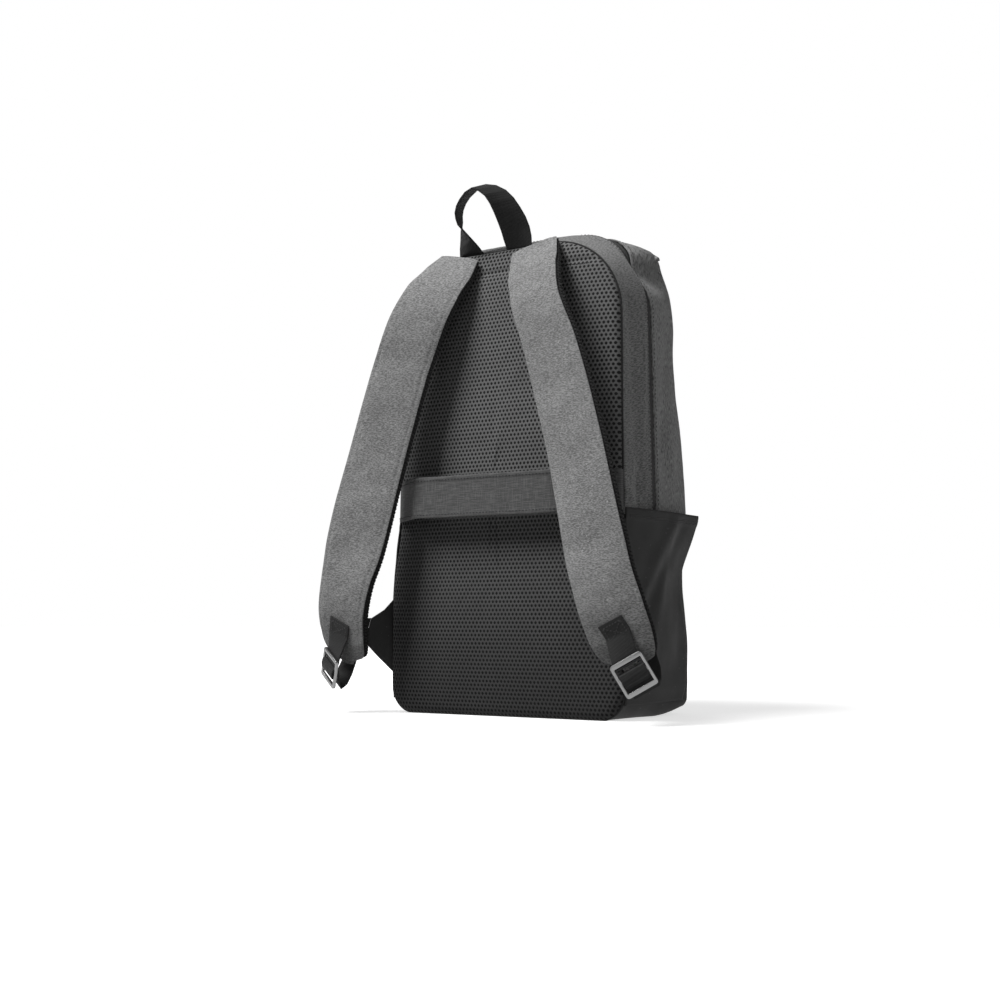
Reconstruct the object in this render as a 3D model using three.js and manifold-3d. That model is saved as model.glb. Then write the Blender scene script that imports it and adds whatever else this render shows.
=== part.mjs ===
// A laptop backpack: melange upper, smooth black base with open side pockets, padded mesh back,
// two padded shoulder straps with metal ladder locks, a grab handle and a trolley band.
// Millimetres, +Z up. The wearer's side faces -Y, the front faces +Y. The origin is the middle of
// the flat patch that the bag stands on.
import * as THREE from 'three';
import { mergeVertices } from 'three/addons/utils/BufferGeometryUtils.js';
import Module from 'manifold-3d';

const wasm = await Module();
wasm.setup();

// Driving dimensions of the bag's body
const bagHeight = 470;
const bagHalfWidth = 131;
const bagDepth = 139;
const shellWall = 3;
const seamDrop = 18;
const shoulderDrop = 22;
const crownRadius = 80;
const bottomRadius = 25;
const frontEdgeRadius = 10;
const baseLift = 9;
const faceBulge = 6;
const cornerDent = 13;
const originDepth = 44;
const clearance = 0.3;

// The colour line between melange and black, and the zip round the arch
const baseHeight = 188;
const zipDepthLow = 60;
const zipDepthHigh = 49;
const zipWidth = 7;
const zipRecess = 1;
const sliderLength = 12;
const sliderWidth = 6;
const sliderHeight = 3;
const pullLength = 24;
const pullWidth = 4.5;
const pullThickness = 1.5;
const sliderSpacing = 14;
const sliderRest = 300;

// Padded back panel
const panelThickness = 15;
const panelPadding = 9;
const panelInset = 1;

// Side pockets
const pocketRise = 6;
const pocketHeight = baseHeight + pocketRise;
const pocketFloor = 14;
const pocketWall = 1.6;
const pocketBulge = 9;

// Trolley band
const bandHeight = 40;
const bandRise = 1;
const bandBottom = baseHeight + bandRise;
const bandThickness = 1.5;
const bandStandOff = 38;
const bandFlatHalf = 79;
const bandSewn = 8;

// Grab handle
const handleWidth = 28;
const handleThickness = 1.8;
const handleRise = 58;
const handleHalfSpan = 35;
const handleLean = 28;
const handleTilt = 22;

// Shoulder straps
const strapTop = 449;
const strapWidth = 64;
const strapThickness = 13;
const coverThickness = 2;
const strapEdgeRound = 2;
const strapReach = 160;
const strapStandOff = 67;

// Webbing and ladder locks
const webWidth = 25;
const webThickness = 1.6;
const tabSewn = 13;
const tabHang = 24;
const tabSlant = 14;
const buckleLength = 32;
const buckleWidth = 31;
const buckleThickness = 3;
const barHeight = 4.2;
const buckleCorner = 3;
const wingBottom = 40;
const wingHeight = 72;
const wingThickness = 1.8;
const wingReach = 18;
const wingLeanRatio = 1.05;
const wingRiseRatio = 0.08;
const wingSlantRatio = 0.4;
const wingWaistRatio = 0.48;
const slackReach = 14;
const slackDepth = 20;
const slackRise = 41;

// Body sections by height: depth as a share of bagDepth, half-widths as shares of bagHalfWidth
const bodySections = [
  { height: 0.00, depth: 0.97, left: 1.000, right: 1 },
  { height: 0.04, depth: 0.99, left: 1.000, right: 1 },
  { height: 0.15, depth: 0.99, left: 1.000, right: 1 },
  { height: 0.27, depth: 0.93, left: 0.985, right: 1 },
  { height: 0.40, depth: 1.00, left: 0.915, right: 1 },
  { height: 0.49, depth: 0.98, left: 0.920, right: 1 },
  { height: 0.60, depth: 0.90, left: 0.980, right: 1 },
  { height: 0.72, depth: 0.84, left: 1.000, right: 1 },
  { height: 0.83, depth: 0.81, left: 1.000, right: 1 },
  { height: 0.89, depth: 0.74, left: 1.000, right: 1 },
  { height: 0.94, depth: 0.63, left: 1.000, right: 1 },
  { height: 1.00, depth: 0.52, left: 1.000, right: 1 },
];

// Rings from the back seam to the front edge: depth share, how much of seamDrop, shoulderDrop,
// baseLift and cornerDent each has, and its top and bottom corner radii as shares of crownRadius
// and bottomRadius
const gussetRings = [
  { share: 0.00, below: 1.00, corner: 0.94, drop: 0.0, lift: 0.0, dent: 0.0, foot: 1.00 },
  { share: 0.22, below: 0.62, corner: 0.96, drop: 0.0, lift: 0.0, dent: 0.0, foot: 0.95 },
  { share: 0.48, below: 0.24, corner: 1.00, drop: 0.0, lift: 0.0, dent: 0.1, foot: 0.80 },
  { share: 0.68, below: 0.02, corner: 0.95, drop: 0.1, lift: 0.0, dent: 0.9, foot: 0.60 },
  { share: 0.86, below: 0.00, corner: 0.60, drop: 0.6, lift: 0.3, dent: 0.9, foot: 0.45 },
  { share: 1.00, below: 0.06, corner: 0.13, drop: 0.94, lift: 0.7, dent: 0.0, foot: 0.35 },
];
const edgeTurns = [30, 60, 90];
const faceScales = [0.9, 0.62, 0.25];
const dentHeightShare = 0.912;
const dentSpanShare = 0.036;
const nearShare = 1 / 24;

// Steps of an outline: shares of the flat bottom, turns of the bottom corner, steps up the side,
// turns of the top corner, and shares of the flat top
const floorShares = [0, 0.45, 0.85];
const footTurns = [0, 30, 60, 90];
const sideSteps = 9;
const crownTurns = [0, 15, 30, 45, 60, 75, 90];
const topShares = [0.62, 0.3, 0];

// Back panel rings: how far in from the outline towards the middle, and share of panelThickness.
// The panel is panelPadding thick from the ring hollowFrom on, and hollow behind
const hollowFrom = 3;
const panelRings = [
  { inward: 0.00, thick: 0.02 },
  { inward: 0.00, thick: 0.22 },
  { inward: 0.015, thick: 0.37 },
  { inward: 0.06, thick: 0.48 },
  { inward: 0.18, thick: 0.74 },
  { inward: 0.42, thick: 0.96 },
  { inward: 0.88, thick: 1.00 },
];

// Side pocket rows: height share, stand-off of the middle and of the front edge as shares of
// pocketBulge, and how far forward the row reaches as a share of the body's depth there
const pocketRows = [
  { height: 0.00, middle: 0.05, front: 0.00, reach: 0.86 },
  { height: 0.12, middle: 0.30, front: 0.05, reach: 0.89 },
  { height: 0.35, middle: 0.48, front: 0.05, reach: 0.89 },
  { height: 0.60, middle: 0.50, front: 0.00, reach: 0.88 },
  { height: 0.78, middle: 0.70, front: 0.35, reach: 0.92 },
  { height: 0.92, middle: 0.90, front: 0.80, reach: 0.97 },
  { height: 1.00, middle: 1.00, front: 0.95, reach: 0.99 },
];

// Columns of a pocket from its back edge to its front edge
const pocketColumns = [0, 0.12, 0.3, 0.5, 0.7, 0.86, 0.95, 1];

// Half of the trolley band from the side seam to its middle. The sewn end stands straight off, the
// fold runs from there to the flat part, and the flat part runs on to the middle: inwards as a
// share of the fold or of the flat part, and back as a share of bandSewn or of bandStandOff
const bandSewnRows = [
  { inward: 0.00, back: 0.04 },
  { inward: 0.02, back: 0.70 },
  { inward: 0.12, back: 1.25 },
];
const bandFoldRows = [
  { inward: 0.50, back: 0.58 },
  { inward: 0.91, back: 0.90 },
];
const bandFlatRows = [
  { inward: 0.02, back: 0.97 },
  { inward: 0.12, back: 0.99 },
  { inward: 0.55, back: 1.00 },
];

// Across a strap: the section's places as shares of its half-width, how steeply its edges turn
// down, the most that they take of the thickness, how much of it the underside follows, and the
// least thickness of the pad
const strapShares = [-1, -0.86, -0.45, 0, 0.45, 0.86, 1];
const edgePower = 5;
const edgeMost = 0.45;
const underFollows = 0.4;
const padLeast = 1;

// Strap rows from the root to the tip: height share of strapTop, reach to the side as a share of
// strapReach, stand-off of the face as a share of strapStandOff, width and thickness shares,
// and turn of the face in degrees
const strapRows = [
  { height: 1.000, reach: 0.270, off: 0.21, width: 0.76, thick: 0.55, turn: 4 },
  { height: 0.962, reach: 0.305, off: 0.39, width: 0.86, thick: 0.85, turn: 12 },
  { height: 0.915, reach: 0.355, off: 0.61, width: 0.90, thick: 1.00, turn: 15 },
  { height: 0.850, reach: 0.418, off: 0.77, width: 0.91, thick: 1.00, turn: 14 },
  { height: 0.757, reach: 0.520, off: 0.81, width: 0.94, thick: 1.00, turn: 10 },
  { height: 0.668, reach: 0.600, off: 0.84, width: 0.96, thick: 1.00, turn: 9 },
  { height: 0.557, reach: 0.690, off: 0.88, width: 0.97, thick: 1.00, turn: 9 },
  { height: 0.445, reach: 0.772, off: 0.94, width: 1.00, thick: 1.00, turn: 9 },
  { height: 0.356, reach: 0.835, off: 0.98, width: 1.00, thick: 1.00, turn: 6 },
  { height: 0.290, reach: 0.888, off: 1.00, width: 0.95, thick: 1.00, turn: -1 },
  { height: 0.223, reach: 0.940, off: 0.95, width: 0.95, thick: 1.00, turn: -7 },
  { height: 0.165, reach: 0.973, off: 0.81, width: 0.92, thick: 0.95, turn: -11 },
  { height: 0.130, reach: 0.987, off: 0.68, width: 0.78, thick: 0.80, turn: -12 },
  { height: 0.108, reach: 0.990, off: 0.59, width: 0.44, thick: 0.55, turn: -12 },
];

// Handle rows: shares of handleHalfSpan across, handleLean towards the wearer, handleRise up,
// and the webbing's turn about the vertical in degrees
const handleRows = [
  { across: 0.56, lean: 0.00, rise: 0.00, turn: 0 },
  { across: 0.56, lean: 0.25, rise: 0.28, turn: 30 },
  { across: 0.47, lean: 0.62, rise: 0.58, turn: 56 },
  { across: 0.22, lean: 0.88, rise: 0.86, turn: 74 },
  { across: -0.26, lean: 1.00, rise: 1.00, turn: 90 },
  { across: -0.78, lean: 0.92, rise: 0.86, turn: 102 },
  { across: -1.06, lean: 0.76, rise: 0.68, turn: 107 },
  { across: -1.13, lean: 0.56, rise: 0.50, turn: 114 },
  { across: -1.09, lean: 0.25, rise: 0.25, turn: 145 },
  { across: -1.03, lean: 0.00, rise: 0.00, turn: 180 },
];

// Slack of the adjuster behind the strap's end, on its way to the place below the lock: shares of
// slackReach outwards, slackDepth away from the wearer and slackRise up, and the share of the
// webbing's turn from the wing's edge to the lock's
const slackRows = [
  { reach: -1.00, depth: 1.00, rise: 1.00, turned: 0.45 },
  { reach: -0.50, depth: 0.88, rise: 0.60, turned: 0.85 },
  { reach: -0.15, depth: 0.81, rise: 0.26, turned: 1.00 },
  { reach: 0.03, depth: 0.60, rise: 0.02, turned: 1.00 },
  { reach: 0.13, depth: 0.25, rise: -0.09, turned: 1.00 },
];

// Place on the strap, counted in rows from its root, where the sewn tab leaves the face
const tabRowNumber = 10.75;

// Directions of the right ladder lock, which the left one mirrors: the way the tab hangs, the way
// down the lock, and across it
const tabDrop = { x: 0.30, y: 0.03, z: -0.95 };
const lockDown = { x: 0.40, y: 0.32, z: -0.86 };
const lockAcross = { x: 0.85, y: 0.39, z: 0.36 };

// The tab's hook under the top bar: down as shares of barHeight and of the gap that the webbing
// needs, and out as shares of buckleThickness and of the same gap
const hookRows = [
  { bar: -0.50, slack: 0.0, face: -0.50, off: -1.0 },
  { bar: 0.25, slack: 0.0, face: -0.50, off: -1.0 },
  { bar: 0.50, slack: 0.8, face: -0.50, off: -0.8 },
  { bar: 0.50, slack: 1.6, face: -0.25, off: 0.0 },
  { bar: 0.50, slack: 1.6, face: 0.50, off: 0.0 },
];

// Where the adjuster passes each slot, as a share of the slot's height from the middle bar, how
// straight it leaves the wing, as a share of its width, and its way through the lock: the place
// that it passes, how far below it as a share of barHeight, and out of the lock as a share of the
// webbing's lift over it
const slotPass = 0.31;
const leavingShare = 1 / 6;
const threadRows = [
  { place: 'foot', below: 0.00, out: -2.70 },
  { place: 'middle', below: 0.90, out: -1.90 },
  { place: 'middle', below: 0.00, out: -1.60 },
  { place: 'upper', below: 0.19, out: -1.10 },
  { place: 'upper', below: 0.00, out: 0.00 },
  { place: 'upper', below: 0.21, out: 0.86 },
  { place: 'middle', below: 0.00, out: 1.10 },
  { place: 'lower', below: -0.14, out: 0.80 },
  { place: 'lower', below: 0.19, out: 0.00 },
  { place: 'lower', below: 0.76, out: -0.75 },
];

const vec = (x, y, z) => new THREE.Vector3(x, y, z);
const sided = (side, { x, y, z }) => vec(side * x, y, z);
const degrees = THREE.MathUtils.degToRad;

// Value of a table's column at a place along another column, as a smooth curve through its rows
function follow(table, along, column, place) {
  const rows = table.map((row) => vec(row[along], row[column], 0));
  const last = rows.length - 1;
  let index = 0;
  while (index < last - 1 && place > rows[index + 1].x) index += 1;
  const [from, to] = [rows[index], rows[index + 1]];
  const t = THREE.MathUtils.clamp((place - from.x) / (to.x - from.x), 0, 1);
  const before = rows[Math.max(index - 1, 0)];
  const after = rows[Math.min(index + 2, last)];
  const slopeIn = (to.y - before.y) / Math.max(to.x - before.x, 1e-6);
  const slopeOut = (after.y - from.y) / Math.max(after.x - from.x, 1e-6);
  const step = to.x - from.x;
  const [t2, t3] = [t * t, t * t * t];
  return (2 * t3 - 3 * t2 + 1) * from.y + (t3 - 2 * t2 + t) * step * slopeIn
    + (3 * t2 - 2 * t3) * to.y + (t3 - t2) * step * slopeOut;
}

// Turns an indexed triangle mesh the right way out, whichever way its loops ran
function facingOut(points, faces) {
  let volume = 0;
  for (const [a, b, c] of faces) {
    volume += points[a].dot(points[b].clone().cross(points[c]));
  }
  const ordered = volume < 0 ? faces.map(([a, b, c]) => [a, c, b]) : faces;
  const geometry = new THREE.BufferGeometry();
  geometry.setAttribute('position', new THREE.Float32BufferAttribute(
    points.flatMap((point) => point.toArray()), 3));
  geometry.setIndex(ordered.flat());
  geometry.computeVertexNormals();
  return geometry;
}

// Closed solid through loops that all have the same even number of points. A loop runs along one
// half of its section and back along the other. Both halves are split into the same triangles, so
// thin twisted pieces keep their thickness, and each end is capped by strips between the halves
function loft(loops) {
  const count = loops[0].length;
  const points = loops.flat();
  const faces = [];
  for (let ring = 0; ring < loops.length - 1; ring += 1) {
    for (let i = 0; i < count; i += 1) {
      const j = (i + 1) % count;
      const [a, b] = [ring * count + i, ring * count + j];
      if (i < count / 2) faces.push([a, b, b + count], [a, b + count, a + count]);
      else faces.push([a, b, a + count], [b, b + count, a + count]);
    }
  }
  const lastStart = (loops.length - 1) * count;
  for (let i = 0; i < count / 2 - 1; i += 1) {
    const [a, b, c, d] = [i, i + 1, count - 2 - i, count - 1 - i];
    const [e, f, g, h] = [a, b, c, d].map((point) => point + lastStart);
    faces.push([b, a, c], [c, a, d], [e, f, g], [e, g, h]);
  }
  return facingOut(points, faces);
}

// Flat webbing through stations, each with its middle, the direction across it, and a width
function ribbon(stations, thickness) {
  const curve = stations.map((station) => station.at);
  const loops = stations.map((station, index) => {
    const ahead = curve[Math.min(index + 1, curve.length - 1)];
    const behind = curve[Math.max(index - 1, 0)];
    const along = ahead.clone().sub(behind).normalize();
    const across = station.across.clone().normalize();
    const out = along.clone().cross(across).normalize().multiplyScalar(thickness / 2);
    const half = across.multiplyScalar(station.width / 2);
    return [[-1, -1], [1, -1], [1, 1], [-1, 1]].map(([u, v]) => station.at.clone()
      .addScaledVector(half, u).addScaledVector(out, v));
  });
  return loft(loops);
}

// Open sheet of rows of points given a wall thickness along its normals, as a closed solid
function sheet(rows, thickness) {
  const [rowCount, count] = [rows.length, rows[0].length];
  const outer = rows.flat();
  const faces = [];
  for (let row = 0; row < rowCount - 1; row += 1) {
    for (let i = 0; i < count - 1; i += 1) {
      const a = row * count + i;
      faces.push([a, a + 1, a + 1 + count], [a, a + 1 + count, a + count]);
    }
  }
  const skin = new THREE.BufferGeometry();
  skin.setAttribute('position', new THREE.Float32BufferAttribute(
    outer.flatMap((point) => point.toArray()), 3));
  skin.setIndex(faces.flat());
  skin.computeVertexNormals();
  const normals = skin.getAttribute('normal');
  const inner = outer.map((point, i) => point.clone().addScaledVector(
    vec(normals.getX(i), normals.getY(i), normals.getZ(i)), -thickness));
  const total = outer.length;
  const closed = faces.flatMap(([a, b, c]) => [[a, b, c], [a + total, c + total, b + total]]);
  const border = [];
  for (let i = 0; i < count - 1; i += 1) border.push([i + 1, i]);
  for (let r = 0; r < rowCount - 1; r += 1) border.push([r * count, (r + 1) * count]);
  const lastRow = (rowCount - 1) * count;
  for (let i = 0; i < count - 1; i += 1) border.push([lastRow + i, lastRow + i + 1]);
  const rowEnd = (row) => (row + 1) * count - 1;
  for (let r = 0; r < rowCount - 1; r += 1) border.push([rowEnd(r + 1), rowEnd(r)]);
  for (const [a, b] of border) closed.push([a, b, b + total], [a, b + total, a + total]);
  return facingOut(outer.concat(inner), closed);
}

function toManifold(geometry) {
  const plain = geometry.clone();
  plain.deleteAttribute('normal');
  if (plain.getAttribute('uv')) plain.deleteAttribute('uv');
  const merged = mergeVertices(plain, 1e-4);
  return new wasm.Manifold(new wasm.Mesh({
    numProp: 3,
    vertProperties: new Float32Array(merged.getAttribute('position').array),
    triVerts: new Uint32Array(merged.getIndex().array),
  }));
}

function toGeometry(solid) {
  const mesh = solid.getMesh();
  const geometry = new THREE.BufferGeometry();
  geometry.setAttribute('position', new THREE.BufferAttribute(mesh.vertProperties, 3));
  geometry.setIndex(new THREE.BufferAttribute(mesh.triVerts, 1));
  geometry.computeVertexNormals();
  return geometry;
}

// Body shape

function halfWidth(side, z) {
  const share = THREE.MathUtils.clamp(z / bagHeight, 0, 1);
  return bagHalfWidth * follow(bodySections, 'height', side > 0 ? 'right' : 'left', share);
}

// The wall runs straight between its rows, so what lies on it clears the widest place near it
function widestNear(side, z) {
  const near = bagHeight * nearShare;
  return Math.max(...[-near, 0, near].map((away) => halfWidth(side, z + away)));
}

function depthAt(z) {
  const share = THREE.MathUtils.clamp(z / bagHeight, 0, 1);
  return bagDepth * follow(bodySections, 'height', 'depth', share);
}

// Half of a ring's outline as x and z, from the middle of the bottom up to the middle of the top
function halfOutline(side, ring, inset) {
  const top = bagHeight - seamDrop * ring.below;
  const bottom = baseLift * ring.lift;
  const width = bagHalfWidth;
  const shoulder = top - shoulderDrop * ring.drop;
  const cornerRadius = crownRadius * ring.corner;
  const footRadius = bottomRadius * ring.foot;
  const points = [];
  const flat = width - footRadius;
  for (const share of floorShares) points.push([flat * share, bottom]);
  for (const turn of footTurns) {
    const angle = degrees(turn);
    points.push([flat + footRadius * Math.sin(angle),
      bottom + footRadius * (1 - Math.cos(angle))]);
  }
  const [low, high] = [bottom + footRadius, shoulder - cornerRadius];
  for (let step = 1; step < sideSteps; step += 1) {
    points.push([width, low + (high - low) * step / sideSteps]);
  }
  const topFlat = width - cornerRadius;
  for (const turn of crownTurns) {
    const angle = degrees(turn);
    const x = topFlat + cornerRadius * Math.cos(angle);
    const fall = (top - shoulder) * (1 - (x / width) ** 2);
    points.push([x, high + cornerRadius * Math.sin(angle) + fall * Math.sin(angle)]);
  }
  for (const share of topShares) {
    const x = topFlat * share;
    points.push([x, shoulder + (top - shoulder) * (1 - (x / width) ** 2)]);
  }
  const middle = (top + bottom) / 2;
  const dent = cornerDent * ring.dent;
  return points.map(([x, z]) => {
    const away = (z / bagHeight - dentHeightShare) / dentSpanShare;
    const pull = dent * Math.exp(-away * away) * (x / width) ** 4;
    const scaled = (x - pull) * halfWidth(side, z) / width;
    const reach = Math.max(1 - inset / width, 0);
    const squeeze = 1 - inset / ((top - bottom) / 2);
    return [side * scaled * reach, middle + (z - middle) * squeeze];
  });
}

function outline(ring, inset) {
  const right = halfOutline(1, ring, inset);
  const left = halfOutline(-1, ring, inset).slice(1, -1).reverse();
  return right.concat(left);
}

// Outer or inner surface of the whole body, as loops from the back seam to the front face
function bodyLoops(inset) {
  const loops = gussetRings.map((ring) => outline(ring, inset).map(([x, z]) => {
    const depth = depthAt(z) - frontEdgeRadius;
    return vec(x, depth * ring.share, z);
  }));
  const front = gussetRings.at(-1);
  for (const turn of edgeTurns) {
    const angle = degrees(turn);
    const inward = frontEdgeRadius * (1 - Math.cos(angle));
    loops.push(outline(front, inset + inward).map(([x, z]) => {
      const forward = (frontEdgeRadius - inset) * Math.sin(angle);
      return vec(x, depthAt(z) - frontEdgeRadius + forward, z);
    }));
  }
  const rim = outline(front, inset + frontEdgeRadius);
  const middle = (rim[0][1] + bagHeight) / 2;
  for (const scale of faceScales) {
    loops.push(rim.map(([x, z]) => {
      const height = middle + (z - middle) * scale;
      const bulge = faceBulge * (1 - scale * scale);
      return vec(x * scale, depthAt(height) - inset + bulge, height);
    }));
  }
  return loops;
}

function bodySolid(inset) {
  return toManifold(loft(bodyLoops(inset)));
}

// Room inside the body, carried on through the open back
function bodyRoom(inset) {
  const loops = bodyLoops(inset);
  const opened = loops[0].map((point) => point.clone().setY(-bagDepth / 4));
  return toManifold(loft([opened, ...loops]));
}

// Prism across the whole width, from corners given as y and z
function slab(corners) {
  const reach = 2 * bagHalfWidth;
  const loops = [-reach, reach].map((x) => corners.map(([y, z]) => vec(x, y, z)));
  return toManifold(loft(loops));
}

function zipFront(z, offset) {
  const share = (z - baseHeight) / (bagHeight - baseHeight);
  return zipDepthLow + (zipDepthHigh - zipDepthLow) * share + offset;
}

function upperPiece(fromOffset, toOffset, outerInset, innerInset) {
  const [low, high] = [baseHeight + clearance / 2, 2 * bagHeight];
  const behind = -bagDepth;
  const ahead = 2 * bagDepth;
  const from = (z) => (fromOffset === null ? behind : zipFront(z, fromOffset));
  const to = (z) => (toOffset === null ? ahead : zipFront(z, toOffset));
  const cutter = slab([[from(low), low], [to(low), low], [to(high), high], [from(high), high]]);
  const wall = bodySolid(outerInset).subtract(bodyRoom(innerInset));
  return toGeometry(wall.intersect(cutter));
}

function rearGusset() {
  return upperPiece(null, -clearance, 0, shellWall);
}

function zipTape() {
  return upperPiece(0, zipWidth, zipRecess, zipRecess + shellWall);
}

function frontShell() {
  return upperPiece(zipWidth + clearance, null, 0, shellWall);
}

function baseShell() {
  const [low, high] = [-bagHeight, baseHeight - clearance / 2];
  const [behind, ahead] = [-bagDepth, 2 * bagDepth];
  const cutter = slab([[behind, low], [ahead, low], [ahead, high], [behind, high]]);
  const wall = bodySolid(0).subtract(bodyRoom(shellWall));
  return toGeometry(wall.intersect(cutter));
}

function backPanel() {
  const seam = outline(gussetRings[0], panelInset);
  const middle = bagHeight / 2;
  const ring = (inward, back) => seam.map(([x, z]) => {
    const height = middle + (z - middle) * (1 - bagHalfWidth * inward / middle);
    return vec(x * (1 - inward), -back, height);
  });
  const face = panelRings.map(({ inward, thick }) => ring(inward, panelThickness * thick));
  const hollow = panelRings.slice(hollowFrom).reverse().map(({ inward, thick }) => ring(
    inward, Math.max(panelThickness * thick - panelPadding, clearance)));
  return loft([...hollow, ...face]);
}

// A closed slider with its pull, lying on the tape of the left side
function zipSlider(height, direction) {
  const tape = widestNear(-1, height) - zipRecess + clearance;
  const middle = zipFront(height, zipWidth / 2);
  const back = -sliderLength / 2;
  const tip = pullLength + back;
  const body = new THREE.Shape();
  body.moveTo(back, -sliderWidth / 2);
  body.lineTo(-back, -pullWidth / 2);
  body.lineTo(-back, pullWidth / 2);
  body.lineTo(back, sliderWidth / 2);
  const pull = new THREE.Shape();
  pull.moveTo(back, -pullWidth / 2);
  pull.lineTo(tip, -pullWidth / 2);
  pull.absarc(tip, 0, pullWidth / 2, -Math.PI / 2, Math.PI / 2, false);
  pull.lineTo(back, pullWidth / 2);
  const solids = [[body, sliderHeight, 0], [pull, pullThickness, sliderHeight - clearance]].map(
    ([shape, depth, lift]) => {
      const geometry = new THREE.ExtrudeGeometry(shape, {
        depth, bevelEnabled: false, curveSegments: 4,
      });
      const basis = new THREE.Matrix4().makeBasis(
        vec(0, 0, direction), vec(0, direction, 0), vec(-1, 0, 0));
      geometry.applyMatrix4(basis.setPosition(-tape - lift, middle, height));
      return toManifold(geometry);
    });
  return toGeometry(solids[0].add(solids[1]));
}

// Side pocket: one sheet that stands off the base, closed at its back edge, foot and front edge
function sidePocket(side) {
  const steps = pocketRows.length * 2 - 1;
  const rows = [];
  for (let step = 0; step < steps; step += 1) {
    const share = step / (steps - 1);
    const value = (column) => follow(pocketRows, 'height', column, share);
    const z = pocketFloor + (pocketHeight - pocketFloor) * share;
    const reach = depthAt(z) * value('reach');
    const base = widestNear(side, z);
    rows.push(pocketColumns.map((column) => {
      const arch = Math.sin(Math.PI * Math.min(column, 0.5));
      const middle = value('middle') * arch;
      const front = value('front');
      const fade = THREE.MathUtils.smoothstep(column, 0.5, 1);
      const off = pocketBulge * (middle * (1 - fade) + front * fade);
      const out = base + clearance + pocketWall + off;
      return vec(side * out, clearance + reach * column, z);
    }));
  }
  return sheet(rows, side * pocketWall);
}

// Trolley band: sewn down along both side seams and bowed out between them
function trolleyBand() {
  const z = bandBottom + bandHeight / 2;
  const edge = (side) => Math.max(widestNear(side, bandBottom), widestNear(side, bandBottom
    + bandHeight)) + clearance + bandThickness / 2;
  const half = (side) => {
    const seam = edge(side);
    const fold = seam - bandFlatHalf;
    const spot = (x, y) => vec(side * x, -y, z);
    return [
      ...bandSewnRows.map(({ inward, back }) => spot(seam - fold * inward, bandSewn * back)),
      ...bandFoldRows.map(({ inward, back }) => spot(seam - fold * inward, bandStandOff * back)),
      ...bandFlatRows.map(({ inward, back }) => spot(bandFlatHalf * (1 - inward),
        bandStandOff * back)),
    ];
  };
  const path = half(-1).concat(half(1).reverse());
  const stations = path.map((at) => ({ at, across: vec(0, 0, 1), width: bandHeight }));
  return ribbon(stations, bandThickness);
}

function grabHandle() {
  const foot = bagHeight - seamDrop + clearance / 2;
  const standOff = handleThickness / 2 + clearance;
  const tilt = degrees(handleTilt);
  const points = handleRows.map(({ across, lean, rise }) => vec(
    handleHalfSpan * across, -standOff - handleLean * lean, foot + handleRise * rise));
  const curve = new THREE.CatmullRomCurve3(points, false, 'centripetal');
  const steps = (handleRows.length - 1) * 2;
  const stations = [];
  for (let step = 0; step <= steps; step += 1) {
    const index = step / 2;
    const [low, high] = [Math.floor(index), Math.ceil(index)];
    const turn = degrees((handleRows[low].turn + handleRows[high].turn) / 2);
    const at = curve.getPoint(step / steps);
    const across = vec(Math.cos(turn), Math.sin(turn) * Math.cos(tilt),
      Math.sin(turn) * Math.sin(tilt));
    stations.push({ at, across, width: handleWidth });
  }
  return ribbon(stations, handleThickness);
}

// A place on a strap, counted in rows from its root: the face's middle, the directions along,
// across and out of the face, the width and the thickness there
function strapStation(side, place) {
  const points = strapRows.map(({ height, reach, off }) => vec(
    side * strapReach * reach, -strapStandOff * off, strapTop * height));
  const curve = new THREE.CatmullRomCurve3(points, false, 'centripetal');
  const low = Math.min(Math.floor(place), strapRows.length - 2);
  const mean = (column) => THREE.MathUtils.lerp(
    strapRows[low][column], strapRows[low + 1][column], place - low);
  const share = place / (strapRows.length - 1);
  const along = curve.getTangent(share).normalize();
  const turn = degrees(mean('turn'));
  const across = vec(side * Math.cos(turn), -Math.sin(turn), 0);
  across.addScaledVector(along, -across.dot(along)).normalize();
  return {
    at: curve.getPoint(share),
    along,
    across,
    out: along.clone().cross(across).multiplyScalar(side),
    width: strapWidth * mean('width'),
    thickness: strapThickness * mean('thick'),
  };
}

// One layer of a strap: its section runs over the crowned face and back along its underside
function strapLayer(side, upper, lower) {
  const places = Array.from({ length: strapRows.length * 2 - 1 }, (_, step) => step / 2);
  const loops = places.map((place) => strapStation(side, place)).map((station) => {
    const edge = (share, layer) => {
      const most = Math.min(strapEdgeRound, station.thickness * edgeMost);
      return layer(station, most * Math.abs(share) ** edgePower);
    };
    const spot = (share, height) => station.at.clone()
      .addScaledVector(station.across, share * station.width / 2)
      .addScaledVector(station.out, height);
    const top = strapShares.map((share) => spot(share, edge(share, upper)));
    const under = strapShares.map((share) => spot(share, edge(share, lower))).reverse();
    return top.concat(under);
  });
  return loft(loops);
}

function strapCover(side) {
  return strapLayer(side, (station, round) => -round,
    (station, round) => -round - coverThickness);
}

function strapPad(side) {
  return strapLayer(side, (station, round) => -round - coverThickness - clearance,
    (station, round) => Math.min(-station.thickness + round * underFollows,
      -round - coverThickness - clearance - padLeast));
}

// Where the sewn tab leaves the strap's face, the way it runs there, and across it
function tabFrame(side) {
  const { at, along, across, out } = strapStation(side, tabRowNumber);
  const slant = degrees(tabSlant);
  return {
    at: at.clone().addScaledVector(out, webThickness / 2 + clearance),
    run: along.clone().multiplyScalar(Math.cos(slant)).addScaledVector(across, Math.sin(slant)),
    across: across.clone().multiplyScalar(Math.cos(slant)).addScaledVector(along,
      -Math.sin(slant)),
  };
}

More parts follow.
